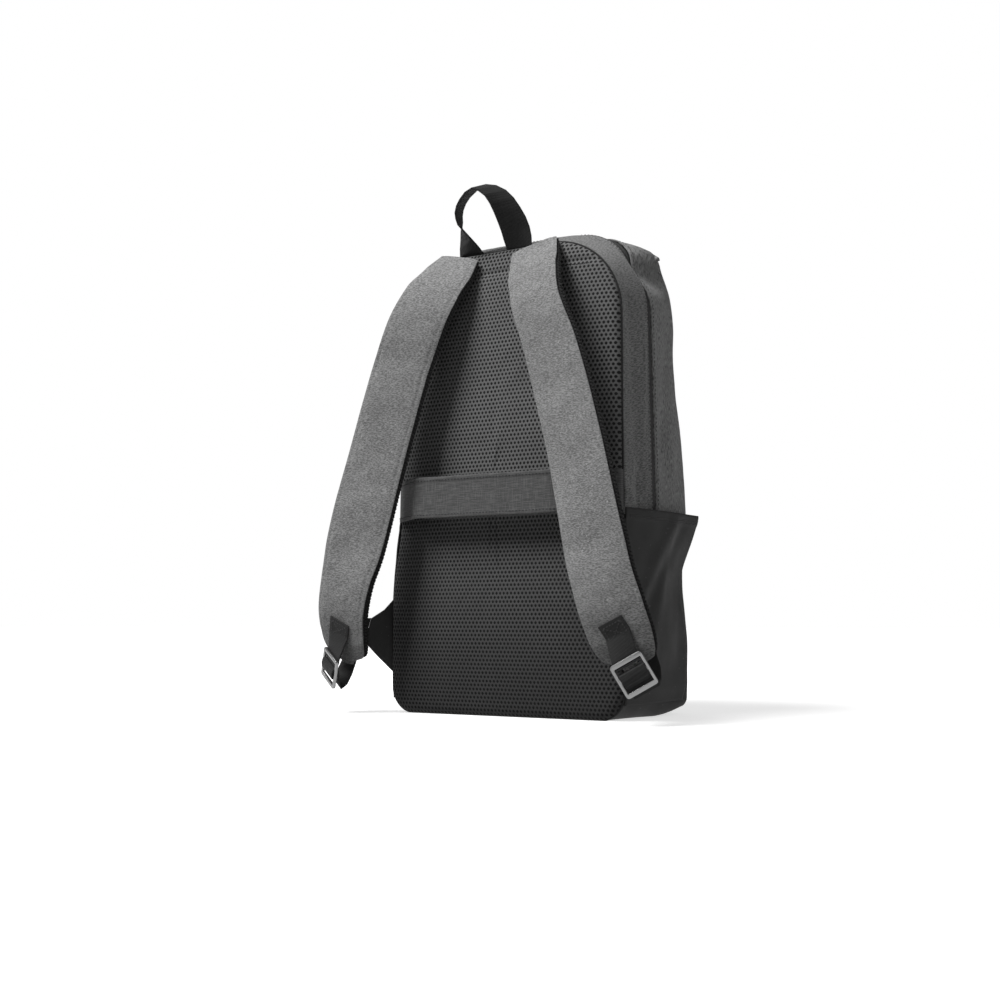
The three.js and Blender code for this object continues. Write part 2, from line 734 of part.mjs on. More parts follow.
// Frame of a ladder lock: middle of its top bar, the way down it, across it and out of its face
function buckleFrame(side) {
  const drop = sided(side, tabDrop).normalize();
  const down = sided(side, lockDown).normalize();
  const across = sided(side, lockAcross);
  across.addScaledVector(down, -across.dot(down)).normalize();
  const out = down.clone().cross(across).multiplyScalar(side);
  const bar = tabFrame(side).at.addScaledVector(drop, tabHang)
    .addScaledVector(out, (webThickness + buckleThickness) / 2);
  return { bar, down, across, out };
}

function buckle(side) {
  const { bar, down, across, out } = buckleFrame(side);
  const [half, corner] = [buckleWidth / 2, buckleCorner];
  const [top, bottom] = [-barHeight / 2, buckleLength - barHeight / 2];
  const frame = new THREE.Shape();
  frame.moveTo(-half + corner, top);
  frame.lineTo(half - corner, top);
  frame.quadraticCurveTo(half, top, half, top + corner);
  frame.lineTo(half, bottom - corner);
  frame.quadraticCurveTo(half, bottom, half - corner, bottom);
  frame.lineTo(-half + corner, bottom);
  frame.quadraticCurveTo(-half, bottom, -half, bottom - corner);
  frame.lineTo(-half, top + corner);
  frame.quadraticCurveTo(-half, top, -half + corner, top);
  const slotHalf = webWidth / 2 + clearance;
  const slotHeight = (buckleLength - 3 * barHeight) / 2;
  for (const start of [top + barHeight, top + 2 * barHeight + slotHeight]) {
    const slot = new THREE.Path();
    slot.moveTo(-slotHalf, start);
    slot.lineTo(-slotHalf, start + slotHeight);
    slot.lineTo(slotHalf, start + slotHeight);
    slot.lineTo(slotHalf, start);
    slot.closePath();
    frame.holes.push(slot);
  }
  const geometry = new THREE.ExtrudeGeometry(frame, {
    depth: buckleThickness, bevelEnabled: false, curveSegments: 3,
  });
  geometry.translate(0, 0, -buckleThickness / 2);
  const basis = new THREE.Matrix4().makeBasis(across.clone().multiplyScalar(-side), down, out);
  geometry.applyMatrix4(basis.setPosition(bar));
  return geometry;
}

// Point in a ladder lock's frame: down from its top bar and out of its middle plane
function buckleSpot(frame, down, out) {
  return frame.bar.clone().addScaledVector(frame.down, down).addScaledVector(frame.out, out);
}

// Sewn tab: lies on the strap's face, passes behind the top bar and hooks forward under it
function strapTab(side) {
  const frame = buckleFrame(side);
  const sewn = tabFrame(side);
  const lying = [tabSewn, tabSewn / 2, 0].map((back) => ({
    at: sewn.at.clone().addScaledVector(sewn.run, -back), across: sewn.across, width: webWidth,
  }));
  const gap = webThickness / 2 + clearance;
  const hanging = hookRows.map(({ bar, slack, face, off }) => ({
    at: buckleSpot(frame, barHeight * bar + gap * slack, buckleThickness * face + gap * off),
    across: frame.across,
    width: webWidth,
  }));
  return ribbon(lying.concat(hanging), webThickness);
}

// Foot and tip of a wing: it leaves the side seam slanting outwards and towards the wearer
function wingEnds(side) {
  const seam = Math.max(halfWidth(side, wingBottom), halfWidth(side, wingBottom + wingHeight));
  const foot = vec(side * (seam + clearance), -wingThickness / 2 - clearance,
    wingBottom + wingHeight / 2);
  const away = vec(side, -wingLeanRatio, 0).normalize();
  const tip = foot.clone().addScaledVector(away, wingReach * Math.SQRT2);
  tip.add(vec(0, 0, wingHeight * wingRiseRatio));
  return { foot, away, tip, slant: vec(-side * wingSlantRatio, 0, 1) };
}

// Triangular tab in the side seam, narrowing to the width of the webbing
function wing(side) {
  const { foot, tip, slant } = wingEnds(side);
  const upright = vec(0, 0, 1);
  return ribbon([
    { at: foot, across: upright, width: wingHeight },
    { at: foot.clone().lerp(tip, 0.5), across: upright.clone().lerp(slant, 0.5),
      width: (wingHeight + webWidth) * wingWaistRatio },
    { at: tip, across: slant, width: webWidth },
  ], wingThickness);
}

// Adjuster: from the wing's tip, in a slack turn behind the strap's end, up behind the lock,
// forward through its first slot, over the middle bar and back through the second slot
function adjuster(side) {
  const frame = buckleFrame(side);
  const { away, tip, slant } = wingEnds(side);
  const slotHeight = (buckleLength - 3 * barHeight) / 2;
  const lift = buckleThickness / 2 + webThickness / 2 + clearance;
  const middleBar = barHeight + slotHeight;
  const pass = barHeight / 2 + slotHeight * slotPass;
  const places = {
    upper: middleBar - pass,
    middle: middleBar,
    lower: middleBar + pass,
    foot: buckleLength - barHeight,
  };
  const threaded = threadRows.map(({ place, below, out }) => ({
    at: buckleSpot(frame, places[place] + barHeight * below, lift * out), across: frame.across,
  }));
  const slack = slackRows.map(({ reach, depth, rise, turned }) => ({
    at: threaded[0].at.clone().add(
      vec(side * slackReach * reach, slackDepth * depth, slackRise * rise)),
    across: slant.clone().normalize().lerp(frame.across, turned),
  }));
  const leaving = [clearance, webWidth * leavingShare].map((on) => ({
    at: tip.clone().addScaledVector(away, on), across: slant,
  }));
  const route = [...leaving, ...slack, ...threaded];
  return ribbon(route.map((station) => ({ ...station, width: webWidth })), webThickness);
}

const finishes = {
  melange: { color: 0x5b5b5c, roughness: 0.95, metalness: 0 },
  strapMelange: { color: 0x7d7d7e, roughness: 0.95, metalness: 0 },
  black: { color: 0x2c2c2d, roughness: 0.8, metalness: 0 },
  airMesh: { color: 0x3a3a3b, roughness: 0.9, metalness: 0 },
  heather: { color: 0x525253, roughness: 0.9, metalness: 0 },
  webbing: { color: 0x29292a, roughness: 0.75, metalness: 0 },
  metal: { color: 0xa8a8aa, roughness: 0.3, metalness: 1 },
};

const backpack = new THREE.Group();

function addPiece(name, geometry, finish) {
  const mesh = new THREE.Mesh(geometry, new THREE.MeshStandardMaterial(finishes[finish]));
  mesh.name = name;
  backpack.add(mesh);
}

addPiece('back_panel', backPanel(), 'airMesh');
addPiece('rear_gusset', rearGusset(), 'melange');
addPiece('zip_tape', zipTape(), 'webbing');
addPiece('front_shell', frontShell(), 'melange');
addPiece('base_shell', baseShell(), 'black');
addPiece('trolley_band', trolleyBand(), 'heather');
addPiece('grab_handle', grabHandle(), 'webbing');
addPiece('zip_slider_upper', zipSlider(sliderRest + sliderSpacing, 1), 'metal');
addPiece('zip_slider_lower', zipSlider(sliderRest, -1), 'metal');
for (const [name, side] of [['left', -1], ['right', 1]]) {
  addPiece(`side_pocket_${name}`, sidePocket(side), 'black');
  addPiece(`strap_cover_${name}`, strapCover(side), 'strapMelange');
  addPiece(`strap_pad_${name}`, strapPad(side), 'airMesh');
  addPiece(`strap_tab_${name}`, strapTab(side), 'webbing');
  addPiece(`buckle_${name}`, buckle(side), 'metal');
  addPiece(`adjuster_${name}`, adjuster(side), 'webbing');
  addPiece(`wing_${name}`, wing(side), 'black');
}

backpack.position.set(0, -originDepth, 0);

export default backpack;
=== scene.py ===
"""Looks of the laptop backpack: cloth, padding, webbing, metal, light and camera around the frame.

Metres, +Z up, the wearer's side towards -Y. Sizes in the classes are millimetres unless they say
otherwise, and are turned to metres where a mesh is made.
"""
import logging
import math
from contextlib import contextmanager
from dataclasses import dataclass
from enum import Enum
from typing import Callable, Iterator, Sequence

import bpy
import numpy as np
from mathutils import Euler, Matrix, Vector, noise
from mathutils.bvhtree import BVHTree


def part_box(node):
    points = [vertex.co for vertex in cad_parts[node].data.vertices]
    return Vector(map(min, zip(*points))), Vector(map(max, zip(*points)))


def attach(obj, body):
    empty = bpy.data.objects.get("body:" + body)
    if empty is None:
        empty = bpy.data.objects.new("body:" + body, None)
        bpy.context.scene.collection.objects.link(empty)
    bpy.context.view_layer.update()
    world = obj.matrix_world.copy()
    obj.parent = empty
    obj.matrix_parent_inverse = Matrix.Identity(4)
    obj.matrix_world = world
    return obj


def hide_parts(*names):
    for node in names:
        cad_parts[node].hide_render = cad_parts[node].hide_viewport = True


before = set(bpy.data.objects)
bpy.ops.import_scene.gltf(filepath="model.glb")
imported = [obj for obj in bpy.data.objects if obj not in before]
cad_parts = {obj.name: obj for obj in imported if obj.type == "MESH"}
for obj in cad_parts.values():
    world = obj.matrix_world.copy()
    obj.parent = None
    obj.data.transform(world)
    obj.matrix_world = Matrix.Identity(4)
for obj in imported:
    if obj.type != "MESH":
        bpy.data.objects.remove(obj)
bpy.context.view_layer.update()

BODY = "root"
MM = 0.001
SIDES = {"left": -1, "right": 1}

logging.basicConfig(level=logging.INFO, format="%(name)s: %(message)s")
LOG = logging.getLogger("backpack")

Array = np.ndarray
Socket = bpy.types.NodeSocket


class Space(Enum):
    """Where a pattern takes its coordinates from."""

    OBJECT = "Object"
    FLAT = "UV"


class Slot(Enum):
    """Material slots of the record."""

    MELANGE = "melange"
    STRAP = "strap_melange"
    BASE = "base_fabric"
    MESH = "air_mesh"
    HEATHER = "heather"
    WEBBING = "webbing"
    ZIP = "zip"
    SLIDER = "slider_metal"
    BUCKLE = "buckle_metal"


# Small helpers for Blender objects


def pick(obj: bpy.types.Object) -> None:
    """Selects one object alone and makes it active.

    Args:
        obj: The object to work on.
    """
    bpy.ops.object.select_all(action="DESELECT")
    obj.hide_set(False)
    obj.select_set(True)
    bpy.context.view_layer.objects.active = obj


@contextmanager
def editing(obj: bpy.types.Object, action: str = "SELECT") -> Iterator[None]:
    """Opens an object for editing, and closes it at the end.

    Args:
        obj: The object to edit.
        action: SELECT to start with all of it selected, DESELECT with nothing.

    Yields:
        Nothing.
    """
    pick(obj)
    bpy.ops.object.mode_set(mode="EDIT")
    bpy.ops.mesh.select_all(action=action)
    yield
    bpy.ops.object.mode_set(mode="OBJECT")


def change(obj: bpy.types.Object, kind: str, **settings: object) -> None:
    """Adds a modifier to an object and applies it.

    Args:
        obj: The object to change.
        kind: The modifier's type.
        **settings: Its properties.
    """
    pick(obj)
    modifier = obj.modifiers.new(kind.title(), kind)
    for name, value in settings.items():
        setattr(modifier, name, value)
    bpy.ops.object.modifier_apply(modifier=modifier.name)


def smooth(obj: bpy.types.Object, angle: float = 180.0) -> None:
    """Shades an object smooth, keeping edges sharper than an angle.

    Args:
        obj: The object to shade.
        angle: Sharpest turn that is still smoothed, in degrees.
    """
    pick(obj)
    if angle >= 180.0:
        bpy.ops.object.shade_smooth()
    else:
        bpy.ops.object.shade_smooth_by_angle(angle=math.radians(angle))


def round_off(obj: bpy.types.Object, levels: int) -> None:
    """Subdivides an object into a smooth surface.

    Args:
        obj: The object to subdivide.
        levels: How many times.
    """
    change(obj, "SUBSURF", levels=levels, render_levels=levels)


def copy_node(node: str, name: str, quads: bool = True) -> bpy.types.Object:
    """Copies a CAD node's mesh into a new object with its corners merged.

    Args:
        node: Name of the node.
        name: Name of the new piece.
        quads: Whether its triangles are joined in pairs.

    Returns:
        The new object, at the origin.
    """
    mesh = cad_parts[node].data.copy()
    mesh.name = name
    mesh.materials.clear()
    obj = bpy.data.objects.new(name, mesh)
    bpy.context.scene.collection.objects.link(obj)
    with editing(obj):
        bpy.ops.mesh.remove_doubles(threshold=2e-5)
        if quads:
            bpy.ops.mesh.tris_convert_to_quads(
                face_threshold=math.radians(60), shape_threshold=math.radians(75))
    return obj


def corners(obj: bpy.types.Object) -> Array:
    """Places of an object's vertices, one row each."""
    places = np.zeros(len(obj.data.vertices) * 3)
    obj.data.vertices.foreach_get("co", places)
    return places.reshape(-1, 3)


def shape(obj: bpy.types.Object, places: Array) -> None:
    """Moves an object's vertices to new places.

    Args:
        obj: The object to shape.
        places: One row of x, y and z for each vertex, in metres.
    """
    obj.data.vertices.foreach_set("co", places.astype(np.float32).ravel())
    obj.data.update()


def cloth_grid(name: str, points: Array, wall: float, outward: Vector) -> bpy.types.Object:
    """Turns a grid primitive into a sheet through rows of points, with a wall and a flat UV map.

    Args:
        name: Name of the piece.
        points: Rows by columns by x, y and z, in millimetres.
        wall: Thickness that grows inwards, in millimetres.
        outward: A point far outside, or the middle of the body, which the faces look away from.

    Returns:
        The finished sheet.
    """
    rows, columns = points.shape[:2]
    bpy.ops.object.select_all(action="DESELECT")
    bpy.ops.mesh.primitive_grid_add(x_subdivisions=columns - 1, y_subdivisions=rows - 1, size=1)
    obj = bpy.context.object
    obj.name = obj.data.name = name
    shape(obj, points.reshape(-1, 3) * MM)
    across = np.linalg.norm(np.diff(points, axis=1), axis=2)
    down = np.linalg.norm(np.diff(points, axis=0), axis=2)
    u = np.hstack([np.zeros((rows, 1)), np.cumsum(across, axis=1)])
    u -= u[:, columns // 2][:, None]
    v = np.vstack([np.zeros((1, columns)), np.cumsum(down, axis=0)])
    flat = np.stack([u, v], axis=2).reshape(-1, 2) * MM
    index = np.zeros(len(obj.data.loops), dtype=int)
    obj.data.loops.foreach_get("vertex_index", index)
    obj.data.uv_layers[0].data.foreach_set("uv", flat[index].ravel())
    facing = sum((face.center - outward).dot(face.normal) * face.area
                 for face in obj.data.polygons)
    if facing < 0:
        obj.data.flip_normals()
    change(obj, "SOLIDIFY", thickness=wall * MM, offset=-1)
    smooth(obj)
    return obj


def tube(name: str, path: Array, radius: float) -> bpy.types.Object:
    """Makes a round cord of cloth along a path that runs back into itself.

    Args:
        name: Name of the piece.
        path: Points in millimetres.
        radius: Its radius in millimetres.

    Returns:
        The tube.
    """
    sides = 8
    ahead = np.roll(path, -1, axis=0) - np.roll(path, 1, axis=0)
    ahead /= np.linalg.norm(ahead, axis=1)[:, None]
    across = np.cross(ahead, np.array([0.0, 1.0, 0.0]))
    across /= np.linalg.norm(across, axis=1)[:, None]
    up = np.cross(across, ahead)
    turns = np.arange(sides) * 2 * math.pi / sides
    rings = (path[:, None] + radius * (np.cos(turns)[None, :, None] * across[:, None]
                                      + np.sin(turns)[None, :, None] * up[:, None]))
    count = len(path)
    faces = []
    for ring in range(count):
        base, following = ring * sides, (ring + 1) % count * sides
        for i in range(sides):
            j = (i + 1) % sides
            faces.append((base + i, base + j, following + j, following + i))
    return closed_piece(name, rings.reshape(-1, 3), faces)


def face_out(obj: bpy.types.Object) -> None:
    """Turns a closed mesh's faces outwards."""
    with editing(obj):
        bpy.ops.mesh.normals_make_consistent(inside=False)


def new_piece(name: str, places: Array, faces: Sequence[tuple[int, ...]]) -> bpy.types.Object:
    """Makes a piece from places and faces.

    Args:
        name: Name of the piece.
        places: One row of x, y and z for each vertex, in millimetres.
        faces: The vertices of each face.

    Returns:
        The new piece.
    """
    mesh = bpy.data.meshes.new(name)
    mesh.from_pydata((places * MM).tolist(), [], faces)
    obj = bpy.data.objects.new(name, mesh)
    bpy.context.scene.collection.objects.link(obj)
    return obj


def closed_piece(name: str, places: Array, faces: Sequence[tuple[int, ...]],
                 angle: float = 180.0) -> bpy.types.Object:
    """Makes a closed piece whose faces look outwards.

    Args:
        name: Name of the piece.
        places: One row of x, y and z for each vertex, in millimetres.
        faces: The vertices of each face.
        angle: Sharpest turn that is still smoothed, in degrees.

    Returns:
        The new piece.
    """
    obj = new_piece(name, places, faces)
    face_out(obj)
    smooth(obj, angle)
    return obj


def ring_faces(rings: int, count: int) -> list[tuple[int, ...]]:
    """Faces between rings of vertices, each with as many vertices as the next."""
    return [(r * count + i, r * count + (i + 1) % count, (r + 1) * count + (i + 1) % count,
             (r + 1) * count + i) for r in range(rings - 1) for i in range(count)]


def surface_of(obj: bpy.types.Object) -> BVHTree:
    """Tree of an object's faces, to find places on it."""
    mesh = obj.data
    return BVHTree.FromPolygons([v.co.copy() for v in mesh.vertices],
                                [tuple(p.vertices) for p in mesh.polygons])


def dress(obj: bpy.types.Object, material: bpy.types.Material, slot: Slot,
          *nodes: str) -> bpy.types.Object:
    """Gives a finished piece its material and its body, and hides the nodes it stands for.

    Args:
        obj: The piece.
        material: Its material.
        slot: Not used.
        *nodes: CAD nodes that it replaces.

    Returns:
        The same piece.
    """
    obj.data.materials.clear()
    obj.data.materials.append(material)
    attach(obj, BODY)
    if nodes:
        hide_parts(*nodes)
    faces = sum(len(face.vertices) - 2 for face in obj.data.polygons)
    LOG.info("%s: %d triangles", obj.name, faces)
    return obj


# Materials

LINT_SIZE = 2.2
LINT_FROM = 0.82


class Dyer:
    """Builds one material's node tree from coordinates, patterns, colour and relief."""

    def __init__(self, name: str, roughness: float, metallic: float = 0.0, sheen: float = 0.0,
                 specular: float = 0.3) -> None:
        """Starts a material.

        Args:
            name: Its name.
            roughness: Roughness all over.
            metallic: 1 for metal.
            sheen: How much fuzz catches light at a slant.
            specular: Strength of the gloss.
        """
        self.material = bpy.data.materials.new(name)
        self.material.use_nodes = True
        self.tree = self.material.node_tree
        self.shader = self.tree.nodes["Principled BSDF"]
        self.shader.inputs["Roughness"].default_value = roughness
        self.shader.inputs["Metallic"].default_value = metallic
        self.shader.inputs["Sheen Weight"].default_value = sheen
        self.shader.inputs["Sheen Roughness"].default_value = 0.6
        self.shader.inputs["Specular IOR Level"].default_value = specular

    def node(self, kind: str, inputs: dict[object, object], **settings: object) -> bpy.types.Node:
        """Adds a node.

        Args:
            kind: Its type.
            inputs: Values or sockets for its inputs, by name or number.
            **settings: Its properties.

        Returns:
            The node.
        """
        made = self.tree.nodes.new(kind)
        for name, value in settings.items():
            setattr(made, name, value)
        for name, value in inputs.items():
            if isinstance(value, bpy.types.NodeSocket):
                self.tree.links.new(value, made.inputs[name])
            else:
                made.inputs[name].default_value = value
        return made

    def calc(self, operation: str, *values: object) -> Socket:
        """Result of a sum on numbers or sockets."""
        return self.node("ShaderNodeMath", dict(enumerate(values)), operation=operation).outputs[0]

    def place(self, space: Space, scale: Sequence[float] = (1, 1, 1),
              turn: Sequence[float] = (0, 0, 0)) -> Socket:
        """Coordinates in millimetres, scaled and turned.

        Args:
            space: Object or UV coordinates.
            scale: Shares of a millimetre along each axis.
            turn: Turns about the axes, in degrees.

        Returns:
            The vector.
        """
        source = self.node("ShaderNodeTexCoord", {}).outputs[space.value]
        turned = self.node("ShaderNodeMapping", {
            "Vector": source, "Rotation": [math.radians(angle) for angle in turn]})
        return self.node("ShaderNodeMapping", {
            "Vector": turned.outputs[0], "Scale": [each / MM for each in scale]}).outputs[0]

    def noise(self, at: Socket, size: float, detail: float = 2.0, rough: float = 0.5) -> Socket:
        """Cloudy pattern around one half.

        Args:
            at: Coordinates in millimetres.
            size: Size of a cloud.
            detail: How many finer layers it has.
            rough: How strong they are.

        Returns:
            The value.
        """
        return self.node("ShaderNodeTexNoise", {
            "Vector": at, "Scale": 1 / size, "Detail": detail, "Roughness": rough,
        }).outputs["Fac"]

    def between(self, value: Socket, low: float, high: float) -> Socket:
        """Value mapped to 0 at low and 1 at high, eased and clamped."""
        return self.node("ShaderNodeMapRange", {"Value": value, 1: low, 2: high},
                         interpolation_type="SMOOTHSTEP").outputs[0]

    def clamp(self, value: Socket) -> Socket:
        """Value held between 0 and 1."""
        return self.node("ShaderNodeClamp", {0: value}).outputs[0]

    def lint(self, at: Socket, full: float) -> Socket:
        """1 on the single pale fibres that lie on cloth, from a value of the noise on."""
        return self.between(self.noise(at, LINT_SIZE, 0.0), LINT_FROM, full)

    def mix(self, factor: object, first: object, second: object) -> Socket:
        """Blend of two greys or colour sockets."""
        def colour(value: object) -> object:
            """A grey as a colour, or the socket itself."""
            return (value, value, value, 1.0) if isinstance(value, float) else value
        made = self.node("ShaderNodeMix", {}, data_type="RGBA")
        for index, value in ((0, factor), (6, colour(first)), (7, colour(second))):
            if isinstance(value, bpy.types.NodeSocket):
                self.tree.links.new(value, made.inputs[index])
            else:
                made.inputs[index].default_value = value
        return made.outputs[2]

    def split(self, at: Socket) -> list[Socket]:
        """The three parts of a vector."""
        return list(self.node("ShaderNodeSeparateXYZ", {0: at}).outputs)

    def weave(self, u: Socket, v: Socket, pitch: float) -> Socket:
        """Relief of threads that cross over and under, from 0 to 1.

        Args:
            u: Place along the cloth in millimetres.
            v: Place across it.
            pitch: Distance of two threads.

        Returns:
            The height.
        """
        waves = [self.calc("SINE", self.calc("MULTIPLY", part, math.pi / pitch))
                 for part in (u, v)]
        return self.calc("MULTIPLY_ADD", self.calc("MULTIPLY", *waves), 0.5, 0.5)

    def attribute(self, name: str) -> Socket:
        """A number stored on the piece's vertices."""
        return self.node("ShaderNodeAttribute", {}, attribute_name=name).outputs["Fac"]

    def finish(self, colour: Socket, height: Socket, relief: float,
               roughness: Socket | None = None) -> bpy.types.Material:
        """Joins colour and relief to the shader.

        Args:
            colour: Base colour.
            height: Height from 0 to 1.
            relief: What a height of 1 is in millimetres.
            roughness: Roughness where it varies.

        Returns:
            The finished material.
        """
        bump = self.node("ShaderNodeBump", {"Height": height, "Distance": relief * MM,
                                            "Strength": 1.0})
        self.tree.links.new(colour, self.shader.inputs["Base Color"])
        self.tree.links.new(bump.outputs[0], self.shader.inputs["Normal"])
        if roughness is not None:
            self.tree.links.new(roughness, self.shader.inputs["Roughness"])
        return self.material


@dataclass(frozen=True)
class Melange:
    """Cloth of mixed light and dark yarn with slubs, a heather or a melange."""

    name: str
    dark: float
    light: float
    slub: tuple[float, float, float]
    space: Space
    thread: float = 0.7
    relief: float = 0.25
    cloud: float = 0.12
    broad: float = 45.0
    lint: float = 0.86

    def make(self) -> bpy.types.Material:
        """Builds the material."""
        dyer = Dyer(self.name, roughness=0.95, sheen=0.18)
        at = dyer.place(self.space)
        stretched = dyer.place(self.space, [1 / size for size in self.slub])
        slubs = dyer.noise(stretched, 1.0, 3.0, 0.62)
        fine = dyer.noise(at, self.thread, 2.0, 0.6)
        broad = dyer.noise(at, self.broad, 2.0, 0.5)
        tone = dyer.between(slubs, 0.36, 0.66)
        tone = dyer.calc("MULTIPLY_ADD", dyer.calc("SUBTRACT", fine, 0.5), 0.9, tone)
        tone = dyer.calc("MULTIPLY_ADD", dyer.calc("SUBTRACT", broad, 0.5), self.cloud * 4, tone)
        lint = dyer.lint(at, self.lint)
        colour = dyer.mix(dyer.clamp(tone), self.dark, self.light)
        colour = dyer.mix(lint, colour, self.light * 1.3)
        return dyer.finish(colour, dyer.calc("ADD", dyer.calc("MULTIPLY", slubs, 0.7), fine),
                           self.relief)


@dataclass(frozen=True)
class PlainCloth:
    """Smooth, closely woven dark cloth."""

    name: str
    grey: float
    space: Space
    pitch: float = 0.55
    relief: float = 0.05
    gloss: float = 0.66
    broad: float = 30.0
    grain: float = 0.9
    lint: float = 0.85

    def make(self) -> bpy.types.Material:
        """Builds the material."""
        dyer = Dyer(self.name, roughness=self.gloss, sheen=0.02, specular=0.16)
        at = dyer.place(self.space)
        u, v, w = dyer.split(at)
        across = v if self.space is Space.FLAT else w
        weave = dyer.weave(u, across, self.pitch)
        broad = dyer.noise(at, self.broad, 3.0, 0.55)
        grain = dyer.noise(at, self.grain, 1.0)
        tone = dyer.calc("MULTIPLY_ADD", weave, 0.35, dyer.calc("MULTIPLY", broad, 0.9))
        colour = dyer.mix(tone, self.grey * 0.72, self.grey * 1.28)
        lint = dyer.lint(at, self.lint)
        colour = dyer.mix(lint, colour, self.grey * 4)
        rough = dyer.calc("MULTIPLY_ADD", broad, 0.25, self.gloss - 0.1)
        return dyer.finish(colour, dyer.calc("ADD", weave, grain), self.relief, rough)


@dataclass(frozen=True)
class AirMesh:
    """Spacer mesh with rows of staggered hexagonal holes."""

    name: str
    grey: float
    pitch: float = 4.1
    row: float = 3.95
    hole: float = 0.355
    ribbed: bool = False
    # Painted shade: heights in millimetres between which the net is darkened towards its lower end,
    # and how strongly
    painted_shade_full_below: float = 10.0
    painted_shade_none_above: float = 300.0
    painted_shade_strength: float = 0.62
    yarn: float = 0.8
    broad: float = 60.0
    relief: float = 0.9

    def make(self) -> bpy.types.Material:
        """Builds the material."""
        dyer = Dyer(self.name, roughness=0.9, sheen=0.02, specular=0.1)
        at = dyer.place(Space.OBJECT)
        x, _, z = dyer.split(at)
        down = dyer.calc("DIVIDE", z, self.row)
        row = dyer.calc("FLOOR", down)
        shift = dyer.calc("MULTIPLY", dyer.calc("PINGPONG", row, 1.0), 0.5)
        across = dyer.calc("ADD", dyer.calc("DIVIDE", x, self.pitch), shift)
        away_x, away_z = [dyer.calc("ABSOLUTE", dyer.calc(
            "SUBTRACT", dyer.calc("FRACT", part), 0.5)) for part in (across, down)]
        slant = dyer.calc("MULTIPLY_ADD", away_z, 0.62, away_x)
        far = dyer.calc("MAXIMUM", slant, dyer.calc("MULTIPLY", away_z, 1.02))
        net = dyer.between(far, self.hole - 0.06, self.hole + 0.05)
        knots = dyer.noise(at, self.yarn, 2.0)
        broad = dyer.noise(at, self.broad, 1.0)
        yarn = dyer.mix(knots, self.grey * 0.7, self.grey * 1.35)
        # Painted shade: the holes are painted near black for the shade in the hollows behind them
        colour = dyer.mix(net, self.grey * 0.035, yarn)
        height = dyer.calc("MULTIPLY_ADD", knots, 0.22, net)
        if self.ribbed:
            ribs, side = dyer.attribute("ribs"), dyer.attribute("rim")
            height = dyer.mix(side, height, ribs)
            # Painted shade between the edge ribs and painted highlight on their crests
            colour = dyer.mix(side, colour, dyer.mix(ribs, self.grey * 0.12, self.grey * 1.5))
        colour = dyer.mix(dyer.calc("MULTIPLY", broad, 0.3), colour, self.grey * 0.5)
        # Painted shade: the net's colour is darkened more and more towards its lower end
        wear_and_painted_shade = dyer.between(z, self.painted_shade_full_below, self.painted_shade_none_above)
        colour = dyer.mix(dyer.calc("MULTIPLY_ADD", wear_and_painted_shade, -self.painted_shade_strength, self.painted_shade_strength), colour,
                          self.grey * 0.05)
        return dyer.finish(colour, height, self.relief)


@dataclass(frozen=True)
class Webbing:
    """Strong dark tape with diagonal ribs and tight edges."""

    name: str
    grey: float
    pitch: float = 1.3
    lean: float = 38.0
    wear_and_painted_shade: float = 9.0
    relief: float = 0.28

    def make(self) -> bpy.types.Material:
        """Builds the material."""
        dyer = Dyer(self.name, roughness=0.75, sheen=0.03, specular=0.14)
        at = dyer.place(Space.OBJECT, turn=(0, self.lean, 0))
        x, y, z = dyer.split(at)
        u = dyer.calc("ADD", x, dyer.calc("MULTIPLY", y, 0.6))
        twill = dyer.calc("SINE", dyer.calc("MULTIPLY", u, 2 * math.pi / self.pitch))
        steps = dyer.calc("SINE", dyer.calc("MULTIPLY", z, math.pi / self.pitch))
        height = dyer.calc("MULTIPLY_ADD", dyer.calc("MULTIPLY_ADD", steps, 0.4, twill), 0.35, 0.5)
        wear = dyer.noise(at, self.wear_and_painted_shade, 3.0)
        tone = dyer.calc("MULTIPLY_ADD", height, 0.6, dyer.calc("MULTIPLY", wear, 0.4))
        colour = dyer.mix(tone, self.grey * 0.55, self.grey * 1.5)
        return dyer.finish(colour, height, self.relief)


@dataclass(frozen=True)
class Heather:
    """Band cloth with dark and light threads in a cross hatch."""

    name: str
    dark: float
    light: float
    across: float = 14.0
    up: float = 12.0
    thread: float = 0.9
    pitch: float = 0.8
    relief: float = 0.16

    def make(self) -> bpy.types.Material:
        """Builds the material."""
        dyer = Dyer(self.name, roughness=0.9, sheen=0.15)
        rows, posts = [
            dyer.noise(dyer.place(Space.FLAT, (1 / wide, 1 / high, 1)), 1.0, 2.0, 0.6)
            for wide, high in ((self.across, self.thread), (self.thread, self.up))]
        at = dyer.place(Space.FLAT)
        u, v, _ = dyer.split(at)
        weave = dyer.weave(u, v, self.pitch)
        tone = dyer.calc("ADD", dyer.between(rows, 0.38, 0.68), dyer.between(posts, 0.45, 0.75))
        tone = dyer.calc("MULTIPLY_ADD", weave, 0.3, dyer.calc("MULTIPLY", tone, 0.45))
        colour = dyer.mix(dyer.clamp(tone), self.dark, self.light)
        return dyer.finish(colour, dyer.calc("ADD", weave, rows), self.relief)


@dataclass(frozen=True)
class Coil:
    """Zip tape with fine cross ribs."""

    name: str
    grey: float
    rib: float = 1.4
    relief: float = 0.12

    def make(self) -> bpy.types.Material:
        """Builds the material."""
        dyer = Dyer(self.name, roughness=0.6, sheen=0.05)
        at = dyer.place(Space.FLAT)
        u, _, _ = dyer.split(at)
        ribs = dyer.calc("SINE", dyer.calc("MULTIPLY", u, 2 * math.pi / self.rib))
        height = dyer.calc("MULTIPLY_ADD", ribs, 0.4, dyer.noise(at, 0.6))
        colour = dyer.mix(height, self.grey * 0.6, self.grey * 1.5)
        return dyer.finish(colour, height, self.relief)


